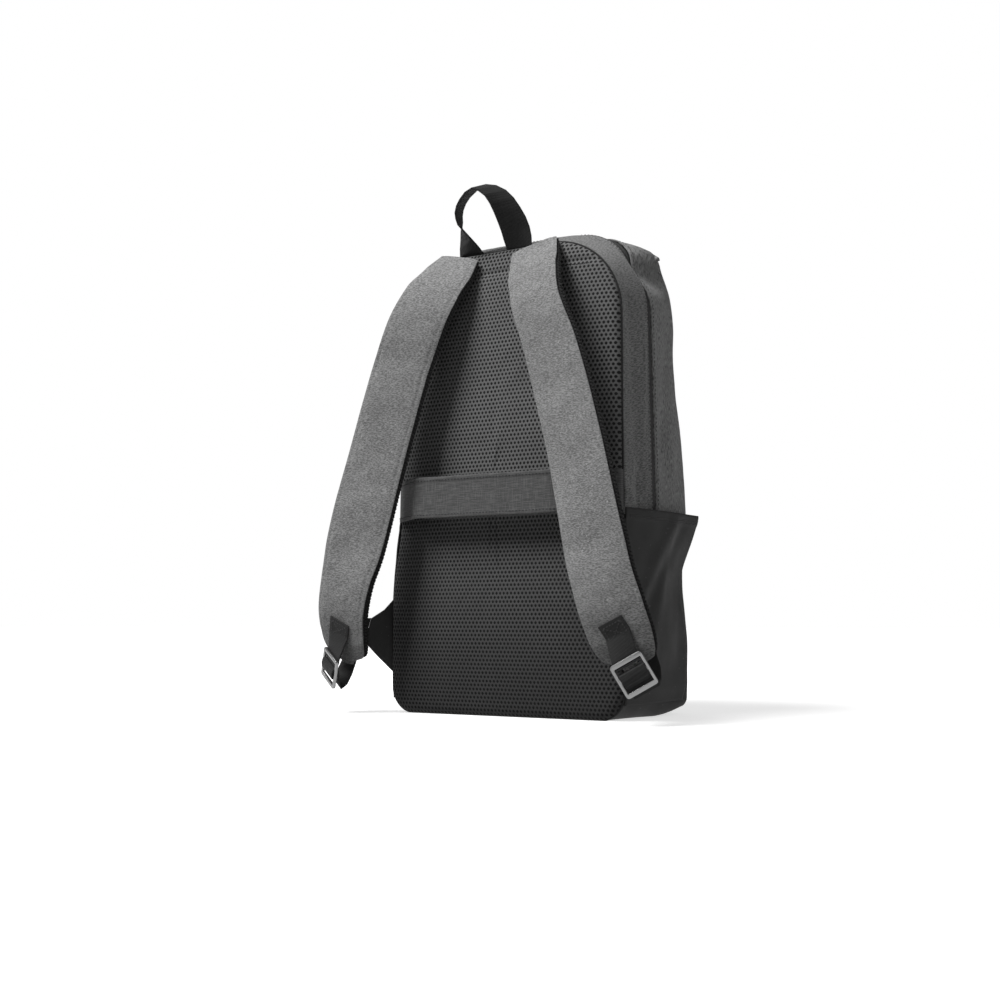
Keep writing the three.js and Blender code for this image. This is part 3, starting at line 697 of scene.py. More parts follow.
@dataclass(frozen=True)
class Metal:
    """Satin plated metal with faint brushing and dull spots."""

    name: str
    grey: float
    roughness: float
    spot: float = 4.0
    relief: float = 0.02

    def make(self) -> bpy.types.Material:
        """Builds the material."""
        dyer = Dyer(self.name, roughness=self.roughness, metallic=1.0, specular=0.5)
        at = dyer.place(Space.OBJECT)
        brushed = dyer.noise(dyer.place(Space.OBJECT, (1.6, 1.6, 0.12)), 1.0, 3.0)
        dull = dyer.noise(at, self.spot, 2.0)
        colour = dyer.mix(dull, self.grey * 0.82, self.grey)
        rough = dyer.calc("MULTIPLY_ADD", dull, 0.22, self.roughness - 0.1)
        return dyer.finish(colour, brushed, self.relief, rough)


@dataclass(frozen=True)
class Yarn:
    """Sewing thread with a twist."""

    name: str
    grey: float
    twist: float = 9.0
    relief: float = 0.04

    def make(self) -> bpy.types.Material:
        """Builds the material."""
        dyer = Dyer(self.name, roughness=0.7, sheen=0.2)
        at = dyer.place(Space.OBJECT, turn=(35, 20, 0))
        x, _, z = dyer.split(at)
        twist = dyer.calc("SINE", dyer.calc("MULTIPLY", dyer.calc("ADD", x, z), self.twist))
        tone = dyer.calc("MULTIPLY_ADD", twist, 0.3, 0.5)
        colour = dyer.mix(tone, self.grey * 0.6, self.grey * 1.3)
        return dyer.finish(colour, twist, self.relief)


@dataclass(frozen=True)
class Paper:
    """Pale seamless paper on the floor."""

    name: str
    grey: float
    glow: float
    near: float = 300.0
    far: float = 900.0
    white: float = 1.02
    mottle: float = 300.0
    relief: float = 0.01

    def make(self) -> bpy.types.Material:
        """Builds the material."""
        dyer = Dyer(self.name, roughness=0.9, specular=0.1)
        at = dyer.place(Space.OBJECT)
        grain = dyer.noise(at, self.mottle, 2.0)
        away = dyer.node("ShaderNodeVectorMath", {0: at}, operation="LENGTH").outputs["Value"]
        fade = dyer.between(away, self.near, self.far)
        glow = dyer.calc("MULTIPLY_ADD", fade, self.white - self.glow, self.glow)
        dyer.shader.inputs["Emission Color"].default_value = (1.0, 1.0, 1.0, 1.0)
        dyer.tree.links.new(glow, dyer.shader.inputs["Emission Strength"])
        colour = dyer.mix(grain, self.grey * 0.98, self.grey)
        return dyer.finish(colour, grain, self.relief)


# Stitches


@dataclass(frozen=True)
class Thread:
    """Rows of stitches as one joined mesh of small bent rods."""

    length: float = 2.7
    gap: float = 1.2
    radius: float = 0.38
    rise: float = 0.3
    sides: int = 6
    crease: float = 50.0

    def sew(self, name: str, lines: Sequence[tuple[Array, Array]]) -> bpy.types.Object:
        """Sews stitches along lines.

        Args:
            name: Name of the piece.
            lines: For each line its points and the directions out of the cloth, in millimetres.

        Returns:
            The joined mesh.
        """
        shares = np.array([-1.0, -0.7, 0.0, 0.7, 1.0])
        lifts = self.rise * np.array([-1.0, 0.3, 0.8, 0.3, -1.0])
        girths = self.radius * np.array([0.5, 1.0, 1.1, 1.0, 0.5])
        turns = np.arange(self.sides) * 2 * math.pi / self.sides
        places, faces = [], []
        for points, outs in lines:
            steps = np.linalg.norm(np.diff(points, axis=0), axis=1)
            run = np.concatenate([[0.0], np.cumsum(steps)])
            count = max(int(run[-1] // (self.length + self.gap)), 1)
            for centre in (np.arange(count) + 0.5) * run[-1] / count:
                ends = [np.array([np.interp(centre + half, run, points[:, axis])
                                  for axis in range(3)]) for half in (-0.5, 0.5)]
                ahead = ends[1] - ends[0]
                ahead /= np.linalg.norm(ahead)
                out = np.array([np.interp(centre, run, outs[:, axis]) for axis in range(3)])
                out -= ahead * out.dot(ahead)
                out /= np.linalg.norm(out)
                side = np.cross(ahead, out)
                middle = (ends[0] + ends[1]) / 2
                start = len(places)
                for share, lift, girth in zip(shares, lifts, girths):
                    core = middle + ahead * share * self.length / 2 + out * lift
                    for turn in turns:
                        around = math.cos(turn) * side + math.sin(turn) * out
                        places.append(core + girth * around)
                for ring in range(len(shares) - 1):
                    for i in range(self.sides):
                        j = (i + 1) % self.sides
                        a, b = start + ring * self.sides, start + (ring + 1) * self.sides
                        faces.append((a + i, b + i, b + j, a + j))
                last = start + (len(shares) - 1) * self.sides
                faces.append(tuple(range(start, start + self.sides)))
                faces.append(tuple(reversed(range(last, last + self.sides))))
        return closed_piece(name, np.array(places), faces, self.crease)


def on_surface(tree: BVHTree, points: Array) -> tuple[Array, Array]:
    """Drops points onto a surface.

    Args:
        tree: The surface.
        points: Points near it, in millimetres.

    Returns:
        The places on it in millimetres, and its normals there.
    """
    found = [tree.find_nearest(Vector(point) * MM) for point in points]
    return (np.array([hit[0] for hit in found]) / MM, np.array([hit[1] for hit in found]))


def line_between(start: Array, end: Array, step: float = 1.0) -> Array:
    """Evenly spaced points from one place to another."""
    count = max(int(np.linalg.norm(end - start) / step), 2)
    return start + (end - start) * np.linspace(0, 1, count)[:, None]


# The bag's body


def follow(rows: Sequence[tuple[float, float]], place: float) -> float:
    """Value of a smooth curve through rows of place and value.

    Args:
        rows: Places in order, each with its value.
        place: Where the value is wanted.

    Returns:
        The value.
    """
    last = len(rows) - 1
    index = 0
    while index < last - 1 and place > rows[index + 1][0]:
        index += 1
    (x0, y0), (x1, y1) = rows[index], rows[index + 1]
    t = min(max((place - x0) / (x1 - x0), 0.0), 1.0)
    xb, yb = rows[max(index - 1, 0)]
    xa, ya = rows[min(index + 2, last)]
    slope_in = (y1 - yb) / max(x1 - xb, 1e-6)
    slope_out = (ya - y0) / max(xa - x0, 1e-6)
    step = x1 - x0
    return ((2 * t ** 3 - 3 * t ** 2 + 1) * y0 + (t ** 3 - 2 * t ** 2 + t) * step * slope_in
            + (3 * t ** 2 - 2 * t ** 3) * y1 + (t ** 3 - t ** 2) * step * slope_out)


class Table:
    """A short table with named columns, read as smooth curves."""

    def __init__(self, columns: Sequence[str], rows: Sequence[Sequence[float]]) -> None:
        """Keeps the rows.

        Args:
            columns: Names, the first of which the others follow.
            rows: A value for each column.
        """
        self.places = np.linspace(rows[0][0], rows[-1][0], 241)
        self.curves = {
            name: np.array([follow([(row[0], row[i]) for row in rows], at) for at in self.places])
            for i, name in enumerate(columns) if i}

    def at(self, column: str, place: Array) -> Array:
        """Values of a column at places along the first one."""
        return np.interp(place, self.places, self.curves[column])


SECTIONS = Table(("height", "depth", "left", "right"), (
    (0.00, 0.97, 1.000, 1.0),
    (0.04, 0.99, 1.000, 1.0),
    (0.15, 0.99, 1.000, 1.0),
    (0.27, 0.93, 0.985, 1.0),
    (0.40, 1.00, 0.915, 1.0),
    (0.49, 0.98, 0.920, 1.0),
    (0.60, 0.90, 0.980, 1.0),
    (0.72, 0.84, 1.000, 1.0),
    (0.83, 0.81, 1.000, 1.0),
    (0.89, 0.74, 1.000, 1.0),
    (0.94, 0.63, 1.000, 1.0),
    (1.00, 0.52, 1.000, 1.0),
))

RINGS = Table(("share", "below", "corner", "drop", "lift", "dent", "foot"), (
    (0.00, 1.00, 0.94, 0.00, 0.0, 0.0, 1.00),
    (0.22, 0.62, 0.96, 0.00, 0.0, 0.0, 0.95),
    (0.48, 0.24, 1.00, 0.00, 0.0, 0.1, 0.80),
    (0.68, 0.02, 0.95, 0.10, 0.0, 0.9, 0.60),
    (0.86, 0.00, 0.60, 0.60, 0.3, 0.9, 0.45),
    (1.00, 0.06, 0.13, 0.94, 0.7, 0.0, 0.35),
))

POCKET = Table(("height", "middle", "front", "reach"), (
    (0.00, 0.05, 0.00, 0.86),
    (0.12, 0.30, 0.05, 0.89),
    (0.35, 0.48, 0.05, 0.89),
    (0.60, 0.50, 0.00, 0.88),
    (0.78, 0.70, 0.35, 0.92),
    (0.92, 0.90, 0.80, 0.97),
    (1.00, 1.00, 0.95, 0.99),
))


@dataclass(frozen=True)
class Fold:
    """A soft fold in a side wall: where it is, how long and wide, and how far it stands out."""

    side: int
    deep: float
    height: float
    long: float
    wide: float
    rise: float
    lean: float = 0.0

    def stand(self, side: Array, deep: Array, height: Array) -> Array:
        """How far the cloth stands out at places, in millimetres.

        Args:
            side: Which side each place is on.
            deep: How far it is from the back seam.
            height: Its height.

        Returns:
            The stand-off.
        """
        angle = math.radians(self.lean)
        y, z = deep - self.deep, height - self.height
        across = y * math.cos(angle) - z * math.sin(angle)
        along = y * math.sin(angle) + z * math.cos(angle)
        shape_here = np.exp(-(across / self.wide) ** 2 - (along / self.long) ** 2)
        return self.rise * shape_here * (side == self.side)


@dataclass(frozen=True)
class BodyForm:
    """Smooth outer surface of the bag between its back seam and its front face."""

    height: float
    half_width: float
    depth: float
    base: float
    back: float
    seam_drop: float = 18.0
    shoulder_drop: float = 22.0
    crown: float = 80.0
    foot: float = 25.0
    edge: float = 10.0
    lift: float = 9.0
    bulge: float = 6.0
    dent: float = 13.0
    dent_height: float = 0.912
    dent_span: float = 0.036
    zip_low: float = 60.0
    zip_high: float = 49.0
    zip_width: float = 7.0
    side_share: float = 0.5
    arc_share: float = 0.8

    @classmethod
    def from_frame(cls) -> "BodyForm":
        """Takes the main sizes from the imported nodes."""
        low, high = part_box("rear_gusset")
        _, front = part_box("base_shell")
        bulge = cls.bulge
        return cls(height=high.z / MM, half_width=high.x / MM, base=front.z / MM,
                   depth=(front.y - low.y) / MM - bulge, back=low.y / MM)

    def half_width_at(self, side: Array, z: Array) -> Array:
        """Half of the width on a side at a height."""
        share = np.clip(z / self.height, 0, 1)
        reach = np.where(side > 0, SECTIONS.at("right", share), SECTIONS.at("left", share))
        return self.half_width * reach

    def edge_at(self, side: int, z: float) -> float:
        """Half of the width at the back seam on a side at one height."""
        return float(self.half_width_at(np.array(side), np.array(z)))

    def depth_at(self, z: Array) -> Array:
        """Depth of the bag at a height."""
        return self.depth * SECTIONS.at("depth", np.clip(z / self.height, 0, 1))

    def zip_line(self, z: Array) -> Array:
        """Depth of the zip's rear edge at a height."""
        share = (z - self.base) / (self.height - self.base)
        return self.zip_low + (self.zip_high - self.zip_low) * share

    def outline(self, side: Array, q: Array, share: Array, inset: Array, upper: bool) -> tuple:
        """Points of one ring: q runs from the base line to the middle of the top or bottom.

        Args:
            side: 1 on the right and -1 on the left.
            q: Place along the half ring, 0 to 1.
            share: Which ring, 0 at the back seam and 1 at the front edge.
            inset: How far inside the outline.
            upper: Whether the half above the base line is meant.

        Returns:
            The x and z values.
        """
        top = self.height - self.seam_drop * RINGS.at("below", share)
        bottom = self.lift * RINGS.at("lift", share)
        middle = (top + bottom) / 2
        squeeze = 1 - inset / ((top - bottom) / 2)
        start = middle + (self.base - middle) / squeeze
        run = np.clip(q / self.side_share, 0, 1)
        bend = np.clip((q - self.side_share) / (self.arc_share - self.side_share), 0, 1)
        last = np.clip((q - self.arc_share) / (1 - self.arc_share), 0, 1)
        angle = bend * math.pi / 2
        width = self.half_width
        if upper:
            shoulder = top - self.shoulder_drop * RINGS.at("drop", share)
            radius = self.crown * RINGS.at("corner", share)
            high = shoulder - radius
            flat = width - radius
            x = np.where(last > 0, flat * (1 - last), flat + radius * np.cos(angle))
            fall = (top - shoulder) * (1 - (x / width) ** 2)
            z = np.where(bend > 0, high + radius * np.sin(angle) + fall * np.sin(angle),
                         start + (high - start) * run)
        else:
            radius = self.foot * RINGS.at("foot", share)
            low = bottom + radius
            flat = width - radius
            x = np.where(last > 0, flat * (1 - last), flat + radius * np.cos(angle))
            z = np.where(bend > 0, low - radius * np.sin(angle), start + (low - start) * run)
        away = (z / self.height - self.dent_height) / self.dent_span
        pull = self.dent * RINGS.at("dent", share) * np.exp(-away ** 2) * (x / width) ** 4
        x = (x - pull) * self.half_width_at(side, z) / width
        return side * x * (1 - inset / width), middle + (z - middle) * squeeze

    def columns(self, straight: int, bend: int, last: int) -> tuple[Array, Array]:
        """Sides and places q of the columns of a sheet that runs right over to the left.

        Args:
            straight: Steps along the side.
            bend: Steps round the corner.
            last: Steps to the middle.

        Returns:
            The side and the q of each column.
        """
        q = np.concatenate([
            np.linspace(0, self.side_share, straight, endpoint=False),
            np.linspace(self.side_share, self.arc_share, bend, endpoint=False),
            np.linspace(self.arc_share, 1, last)])
        side = np.concatenate([np.ones(len(q)), -np.ones(len(q) - 1)])
        return side, np.concatenate([q, q[::-1][1:]])

    def at_depth(self, side: Array, q: Array, depth: Callable[[Array], Array],
                 upper: bool) -> Array:
        """Points of the surface at a depth behind the back seam that may follow the height.

        Args:
            side: 1 on the right and -1 on the left.
            q: Place along the half ring.
            depth: Depth in millimetres from a height.
            upper: Whether the half above the base line is meant.

        Returns:
            One row of x, y and z for each.
        """
        share = np.full(q.shape, 0.5)
        still = np.zeros(q.shape)
        for _ in range(6):
            x, z = self.outline(side, q, share, still, upper)
            share = np.clip(depth(z) / (self.depth_at(z) - self.edge), 0, 1)
        x, z = self.outline(side, q, share, still, upper)
        return np.stack([x, depth(z), z], axis=1)

    def edge_row(self, side: Array, q: Array, turn: float, upper: bool) -> Array:
        """Points on the rounded front edge.

        Args:
            side: 1 on the right and -1 on the left.
            q: Place along the half ring.
            turn: Turn of the edge, 0 to 90 degrees.
            upper: Whether the half above the base line is meant.

        Returns:
            One row of x, y and z for each.
        """
        angle = math.radians(turn)
        inset = np.full(q.shape, self.edge * (1 - math.cos(angle)))
        x, z = self.outline(side, q, np.ones(q.shape), inset, upper)
        return np.stack([x, self.depth_at(z) - self.edge + self.edge * math.sin(angle), z], axis=1)

    def face(self, upper: bool, columns: int, rows: int) -> Array:
        """Front face above or below the base line.

        Args:
            upper: Whether the part above it is meant.
            columns: Points across.
            rows: Points up.

        Returns:
            Rows by columns of points.
        """
        side, q = self.columns(30, 20, 30)
        rim = self.edge_row(side, q, 90, upper)
        crest = q > self.side_share
        order = np.argsort(rim[crest, 0])
        across = np.linspace(-1, 1, columns)
        width = self.half_width - self.edge
        reach = np.interp(across * width, rim[crest, 0][order], rim[crest, 2][order])
        points = np.zeros((rows, columns, 3))
        middle = self.height / 2
        for row, share in enumerate(np.linspace(0, 1, rows)):
            z = self.base + (reach - self.base) * share
            side_here = np.where(across < 0, -1, 1)
            x = across * (self.half_width_at(side_here, z) - self.edge)
            up = (z - middle) / (middle - self.edge)
            bulge = self.bulge * (1 - across ** 2) * np.clip(1 - up ** 2, 0, 1)
            points[row] = np.stack([x, self.depth_at(z) + bulge, z], axis=1)
        return points

    def placed(self, points: Array) -> Array:
        """Points moved from the back seam's plane to the frame's."""
        return points + np.array([0.0, self.back, 0.0])


def normals_of(points: Array, middle: Array) -> Array:
    """Directions out of a sheet of points.

    Args:
        points: Rows by columns by x, y and z.
        middle: A place inside the body.

    Returns:
        Unit normals that look away from the middle.
    """
    across = np.gradient(points, axis=1)
    down = np.gradient(points, axis=0)
    out = np.cross(across, down)
    out /= np.maximum(np.linalg.norm(out, axis=2, keepdims=True), 1e-9)
    flip = np.sign(np.sum(out * (points - middle), axis=2).mean())
    return out * flip


def crumple(points: Array, size: float, depth: float, seed: int) -> Array:
    """Gentle unevenness of cloth.

    Args:
        points: Rows by columns by x, y and z.
        size: Size of a wave, in millimetres.
        depth: How deep it is.
        seed: Which pattern.

    Returns:
        How far each point stands out.
    """
    shift = Vector((seed * 17.3, seed * 5.1, seed * 9.7))
    flat = points.reshape(-1, 3)
    waves = [noise.fractal(Vector(point) / size + shift, 1.0, 2.0, 3) for point in flat]
    return depth * np.array(waves).reshape(points.shape[:2])


# Steps along a side, round a corner and on to the middle, for each sheet of the body, and the
# turns of the rows round its front edge, in degrees
ARCH_STEPS = (105, 46, 34)
BASE_STEPS = (62, 16, 50)
SEAM_STEPS = (60, 24, 24)
HEM_STEPS = (60, 30, 30)
PANEL_STEPS = (26, 12, 12)
FACE_COLUMNS = 96
FACE_ROWS = {True: 100, False: 64}
EDGE_TURNS = range(12, 91, 13)

SIDE_FOLDS = (
    Fold(side=1, deep=12, height=203, long=9, wide=13, rise=3.4, lean=35),
    Fold(side=1, deep=32, height=225, long=30, wide=8, rise=-2.6, lean=12),
    Fold(side=1, deep=44, height=330, long=80, wide=7, rise=1.5, lean=4),
    Fold(side=1, deep=22, height=300, long=95, wide=9, rise=-1.8, lean=-4),
    Fold(side=1, deep=96, height=250, long=26, wide=10, rise=2.2, lean=-20),
    Fold(side=1, deep=84, height=300, long=60, wide=7, rise=-1.5, lean=8),
    Fold(side=1, deep=84, height=428, long=15, wide=9, rise=-3.5, lean=-28),
    Fold(side=-1, deep=15, height=210, long=24, wide=12, rise=2.6, lean=-20),
    Fold(side=-1, deep=35, height=285, long=70, wide=9, rise=-2.0, lean=6),
    Fold(side=-1, deep=95, height=260, long=34, wide=9, rise=1.9, lean=15),
)


@dataclass
class Body:
    """The bag's walls: melange gussets and front, black base, zip strip, piping and seams."""

    form: BodyForm
    wall: float = 2.6
    hem: float = 5.0
    hem_rise: float = 0.6
    piping: float = 1.2
    gap: float = 0.3
    middle: tuple[float, float, float] = (0.0, 60.0, 230.0)
    wave: float = 70.0
    wrinkle: float = 22.0
    wrinkle_share: float = 0.3
    wrinkle_stretch: tuple[float, float, float] = (1.0, 1.0, 0.4)
    held: float = 12.0
    hem_fullness: float = 0.3
    seam_sink: float = 0.7
    seam_width: float = 1.2
    face_row: float = 3.0
    face_column: float = 2.6
    face_held: float = 18.0
    face_wave: float = 85.0
    face_depth: float = 1.8
    face_dip: float = 0.8
    face_dip_width: float = 3.0
    stitch_off: float = 3.2
    base_stitch_off: float = 3.0

    def relief(self, points: Array, side: Array, edges: Array, depth: float, seed: int) -> Array:
        """Points pushed in and out by folds, crumples and hems.

        Args:
            points: Rows by columns, from the back seam's plane.
            side: Side of each column.
            edges: Distance of each point from the sheet's sewn edge, for the hem.
            depth: Depth of the crumples.
            seed: Which pattern of crumples.

        Returns:
            The moved points.
        """
        out = normals_of(points, np.array(self.middle))
        sides = np.broadcast_to(side, points.shape[:2])
        stand = crumple(points, self.wave, depth, seed)
        stand += crumple(points * np.array(self.wrinkle_stretch), self.wrinkle,
                         depth * self.wrinkle_share, seed + 3)
        upright = np.clip(np.abs(out[..., 0]), 0, 1)
        for fold in SIDE_FOLDS:
            stand += fold.stand(sides, points[..., 1], points[..., 2]) * upright
        free = np.clip(edges / self.held, 0, 1)
        stand *= free * free * (3 - 2 * free)
        half = self.hem / 2
        hem = self.hem_rise * np.clip(1 - np.abs(edges - half) / half, 0, 1) ** self.hem_fullness
        stand += np.where(edges < self.hem, hem, 0)
        stand -= self.seam_sink * np.clip(1 - edges / self.seam_width, 0, 1)
        return points + out * stand[..., None]

    def gusset(self, name: str, start: Callable[[Array], Array], end: Callable[[Array], Array],
               rows: int, rim: bool, sewn_start: bool, seed: int) -> bpy.types.Object:
        """A strip of the wall over the arch, above the base line.

        Args:
            name: Name of the piece.
            start: Depth of its rear edge from a height.
            end: Depth of its front edge.
            rows: Rows between them.
            rim: Whether it goes on round the front edge.
            sewn_start: Whether its rear edge, rather than its front one, is the hem by the zip.
            seed: Which pattern of crumples.

        Returns:
            The sheet.
        """
        side, q = self.form.columns(*ARCH_STEPS)
        shares = np.linspace(0, 1, rows)
        sheet = [self.form.at_depth(
            side, q, lambda z, share=share: start(z) + (end(z) - start(z)) * share, True)
            for share in shares]
        if rim:
            sheet += [self.form.edge_row(side, q, turn, True) for turn in EDGE_TURNS]
        points = np.array(sheet)
        run = np.vstack([np.zeros((1, len(q))), np.cumsum(
            np.linalg.norm(np.diff(points, axis=0), axis=2), axis=0)])
        edges = run if sewn_start else run[-1] - run
        points = self.relief(points, side, edges, 1.5, seed)
        points[..., 2] = np.maximum(points[..., 2], self.form.base + self.gap / 2)
        return cloth_grid(name, self.form.placed(points), self.wall, self.core())

    def core(self) -> Vector:
        """A place inside the body, in metres."""
        return Vector(self.form.placed(np.array(self.middle))) * MM

    def zip_strip(self) -> bpy.types.Object:
        """The zip between the gussets: two lips of tape with a slit between them."""
        side, q = self.form.columns(*ARCH_STEPS)
        rows = []
        shares = np.linspace(0, 1, 15)
        for share in shares:
            rows.append(self.form.at_depth(
                side, q, lambda z, share=share: self.form.zip_line(z) + self.gap
                + (self.form.zip_width - 2 * self.gap) * share, True))
        points = np.array(rows)
        out = normals_of(points, np.array(self.middle))
        away = np.abs(shares - 0.5) * self.form.zip_width
        sink = -1.1 - 0.9 * np.exp(-(away / 0.5) ** 2) + 0.55 * np.exp(-((away - 1.5) / 0.9) ** 2)
        points = points + out * sink[:, None, None]
        return cloth_grid("zip_strip", self.form.placed(points), 1.2, self.core())

    def walls(self) -> bpy.types.Object:
        """The base's sides and bottom, rounded into the front face."""
        side, q = self.form.columns(*BASE_STEPS)
        form = self.form
        sheet = [form.at_depth(
            side, q, lambda z, share=share: (form.depth_at(z) - form.edge) * share, False)
            for share in np.linspace(0, 1, BASE_STEPS[0])]
        sheet += [self.form.edge_row(side, q, turn, False) for turn in EDGE_TURNS]
        points = np.array(sheet)
        seam = np.minimum(self.form.base - points[..., 2] + 2.0, 40.0)
        flat = np.clip((points[..., 2] - 2.0) / 12.0, 0, 1)
        moved = self.relief(points, side, seam, 1.1, 8)
        points = points + (moved - points) * flat[..., None]
        points[..., 2] = np.minimum(points[..., 2], self.form.base - self.gap / 2)
        points[..., 2] = np.maximum(points[..., 2], 0.0)
        return cloth_grid("base_walls", self.form.placed(points), self.wall, self.core())

    def front(self, name: str, upper: bool, seed: int) -> bpy.types.Object:
        """Front face above or below the base line.

        Args:
            name: Name of the piece.
            upper: Whether the melange part is meant.
            seed: Which pattern of crumples.

        Returns:
            The sheet.
        """
        points = self.form.face(upper, FACE_COLUMNS, FACE_ROWS[upper])
        rows, columns = points.shape[:2]
        out = normals_of(points, np.array(self.middle))
        border = np.minimum.outer(
            np.arange(rows)[::-1] * self.face_row,
            np.minimum(np.arange(columns), np.arange(columns)[::-1]) * self.face_column)
        free = np.clip(border / self.face_held, 0, 1)
        stand = crumple(points, self.face_wave, self.face_depth, seed) * free
        stand = stand + self.face_dip * (free - 1) * np.exp(-border / self.face_dip_width)
        points = points + out * stand[..., None]
        if upper:
            points[..., 2] = np.maximum(points[..., 2], self.form.base + self.gap / 2)
        else:
            points[..., 2] = np.minimum(points[..., 2], self.form.base - self.gap / 2)
        return cloth_grid(name, self.form.placed(points), self.wall, self.core())

    def seam_ring(self, share: float, inset: float, forward: float) -> Array:
        """Closed line round the whole body on one of its rings.

        Args:
            share: Which ring.
            inset: How far inside the outline.
            forward: How far in front of the back seam's plane, or past the front edge.

        Returns:
            Points in millimetres.
        """
        side, q = self.form.columns(*SEAM_STEPS)
        halves = []
        for upper in (True, False):
            x, z = self.form.outline(
                side, q, np.full(q.shape, share), np.full(q.shape, inset), upper)
            deep = np.full(q.shape, forward) if share == 0 else self.form.depth_at(z) + forward
            halves.append(np.stack([x, deep, z], axis=1))
        loop = np.vstack([halves[0][::-1], halves[1][1:-1]])
        return self.form.placed(loop)

    def hem_line(self, depth: Callable[[Array], Array], tree: BVHTree) -> tuple[Array, Array]:
        """A line of stitches over the arch at a depth.

        Args:
            depth: Depth from a height.
            tree: Surface that it lies on.

        Returns:
            Points and normals.
        """
        side, q = self.form.columns(*HEM_STEPS)
        line = self.form.at_depth(side, q, depth, True)
        return on_surface(tree, self.form.placed(line))

    def build(self, cloths: dict[str, bpy.types.Material]) -> None:
        """Makes and dresses all the body's pieces.

        Args:
            cloths: Materials by name.
        """
        form, gap = self.form, self.gap
        rear = self.gusset("rear_gusset_cloth", lambda z: 0 * z,
                           lambda z: form.zip_line(z) - gap, 30, False, False, 2)
        dress(rear, cloths["melange"], Slot.MELANGE, "rear_gusset")
        dress(self.zip_strip(), cloths["zip"], Slot.ZIP, "zip_tape")
        ahead = self.gusset("front_gusset_cloth",
                            lambda z: form.zip_line(z) + form.zip_width + gap,
                            lambda z: form.depth_at(z) - form.edge, 30, True, True, 4)
        front = self.front("front_cloth", True, 6)
        for sheet in (ahead, front):
            dress(sheet, cloths["front_melange"], Slot.MELANGE, "front_shell")
        walls = dress(self.walls(), cloths["base"], Slot.BASE, "base_shell")
        dress(self.front("base_front", False, 7), cloths["base"], Slot.BASE, "base_shell")
        back = self.seam_ring(0.0, 0.6, -self.piping * 0.35)
        back[:, 2] = np.maximum(back[:, 2], self.piping)
        dress(tube("back_piping", back, self.piping), cloths["binding"], Slot.BASE)
        rim = self.seam_ring(1.0, form.edge, -0.4)
        dress(tube("front_piping", rim, self.piping * 0.8), cloths["binding"], Slot.BASE)
        lines = [
            self.hem_line(lambda z: form.zip_line(z) - self.stitch_off, surface_of(rear)),
            self.hem_line(lambda z: form.zip_line(z) + form.zip_width + self.stitch_off,
                          surface_of(ahead)),
        ]
        dress(Thread().sew("zip_stitches", lines), cloths["grey_thread"], Slot.MELANGE)
        tree = surface_of(walls)
        base_lines = []
        for side in SIDES.values():
            deep = np.linspace(4, float(form.depth_at(np.array(form.base))) - 12, 60)
            edge = np.full(deep.shape, side * form.half_width * 1.02)
            height = np.full(deep.shape, form.base - self.base_stitch_off)
            start = np.stack([edge, deep, height], axis=1)
            base_lines.append(on_surface(tree, form.placed(start)))
        dress(Thread().sew("base_stitches", base_lines), cloths["black_thread"], Slot.BASE)


# Side pockets


# Each crease's lean in degrees, its height and how far it stands out
POCKET_CREASES = ((55, 128, 1.8), (48, 112, -1.5), (70, 60, 1.2))


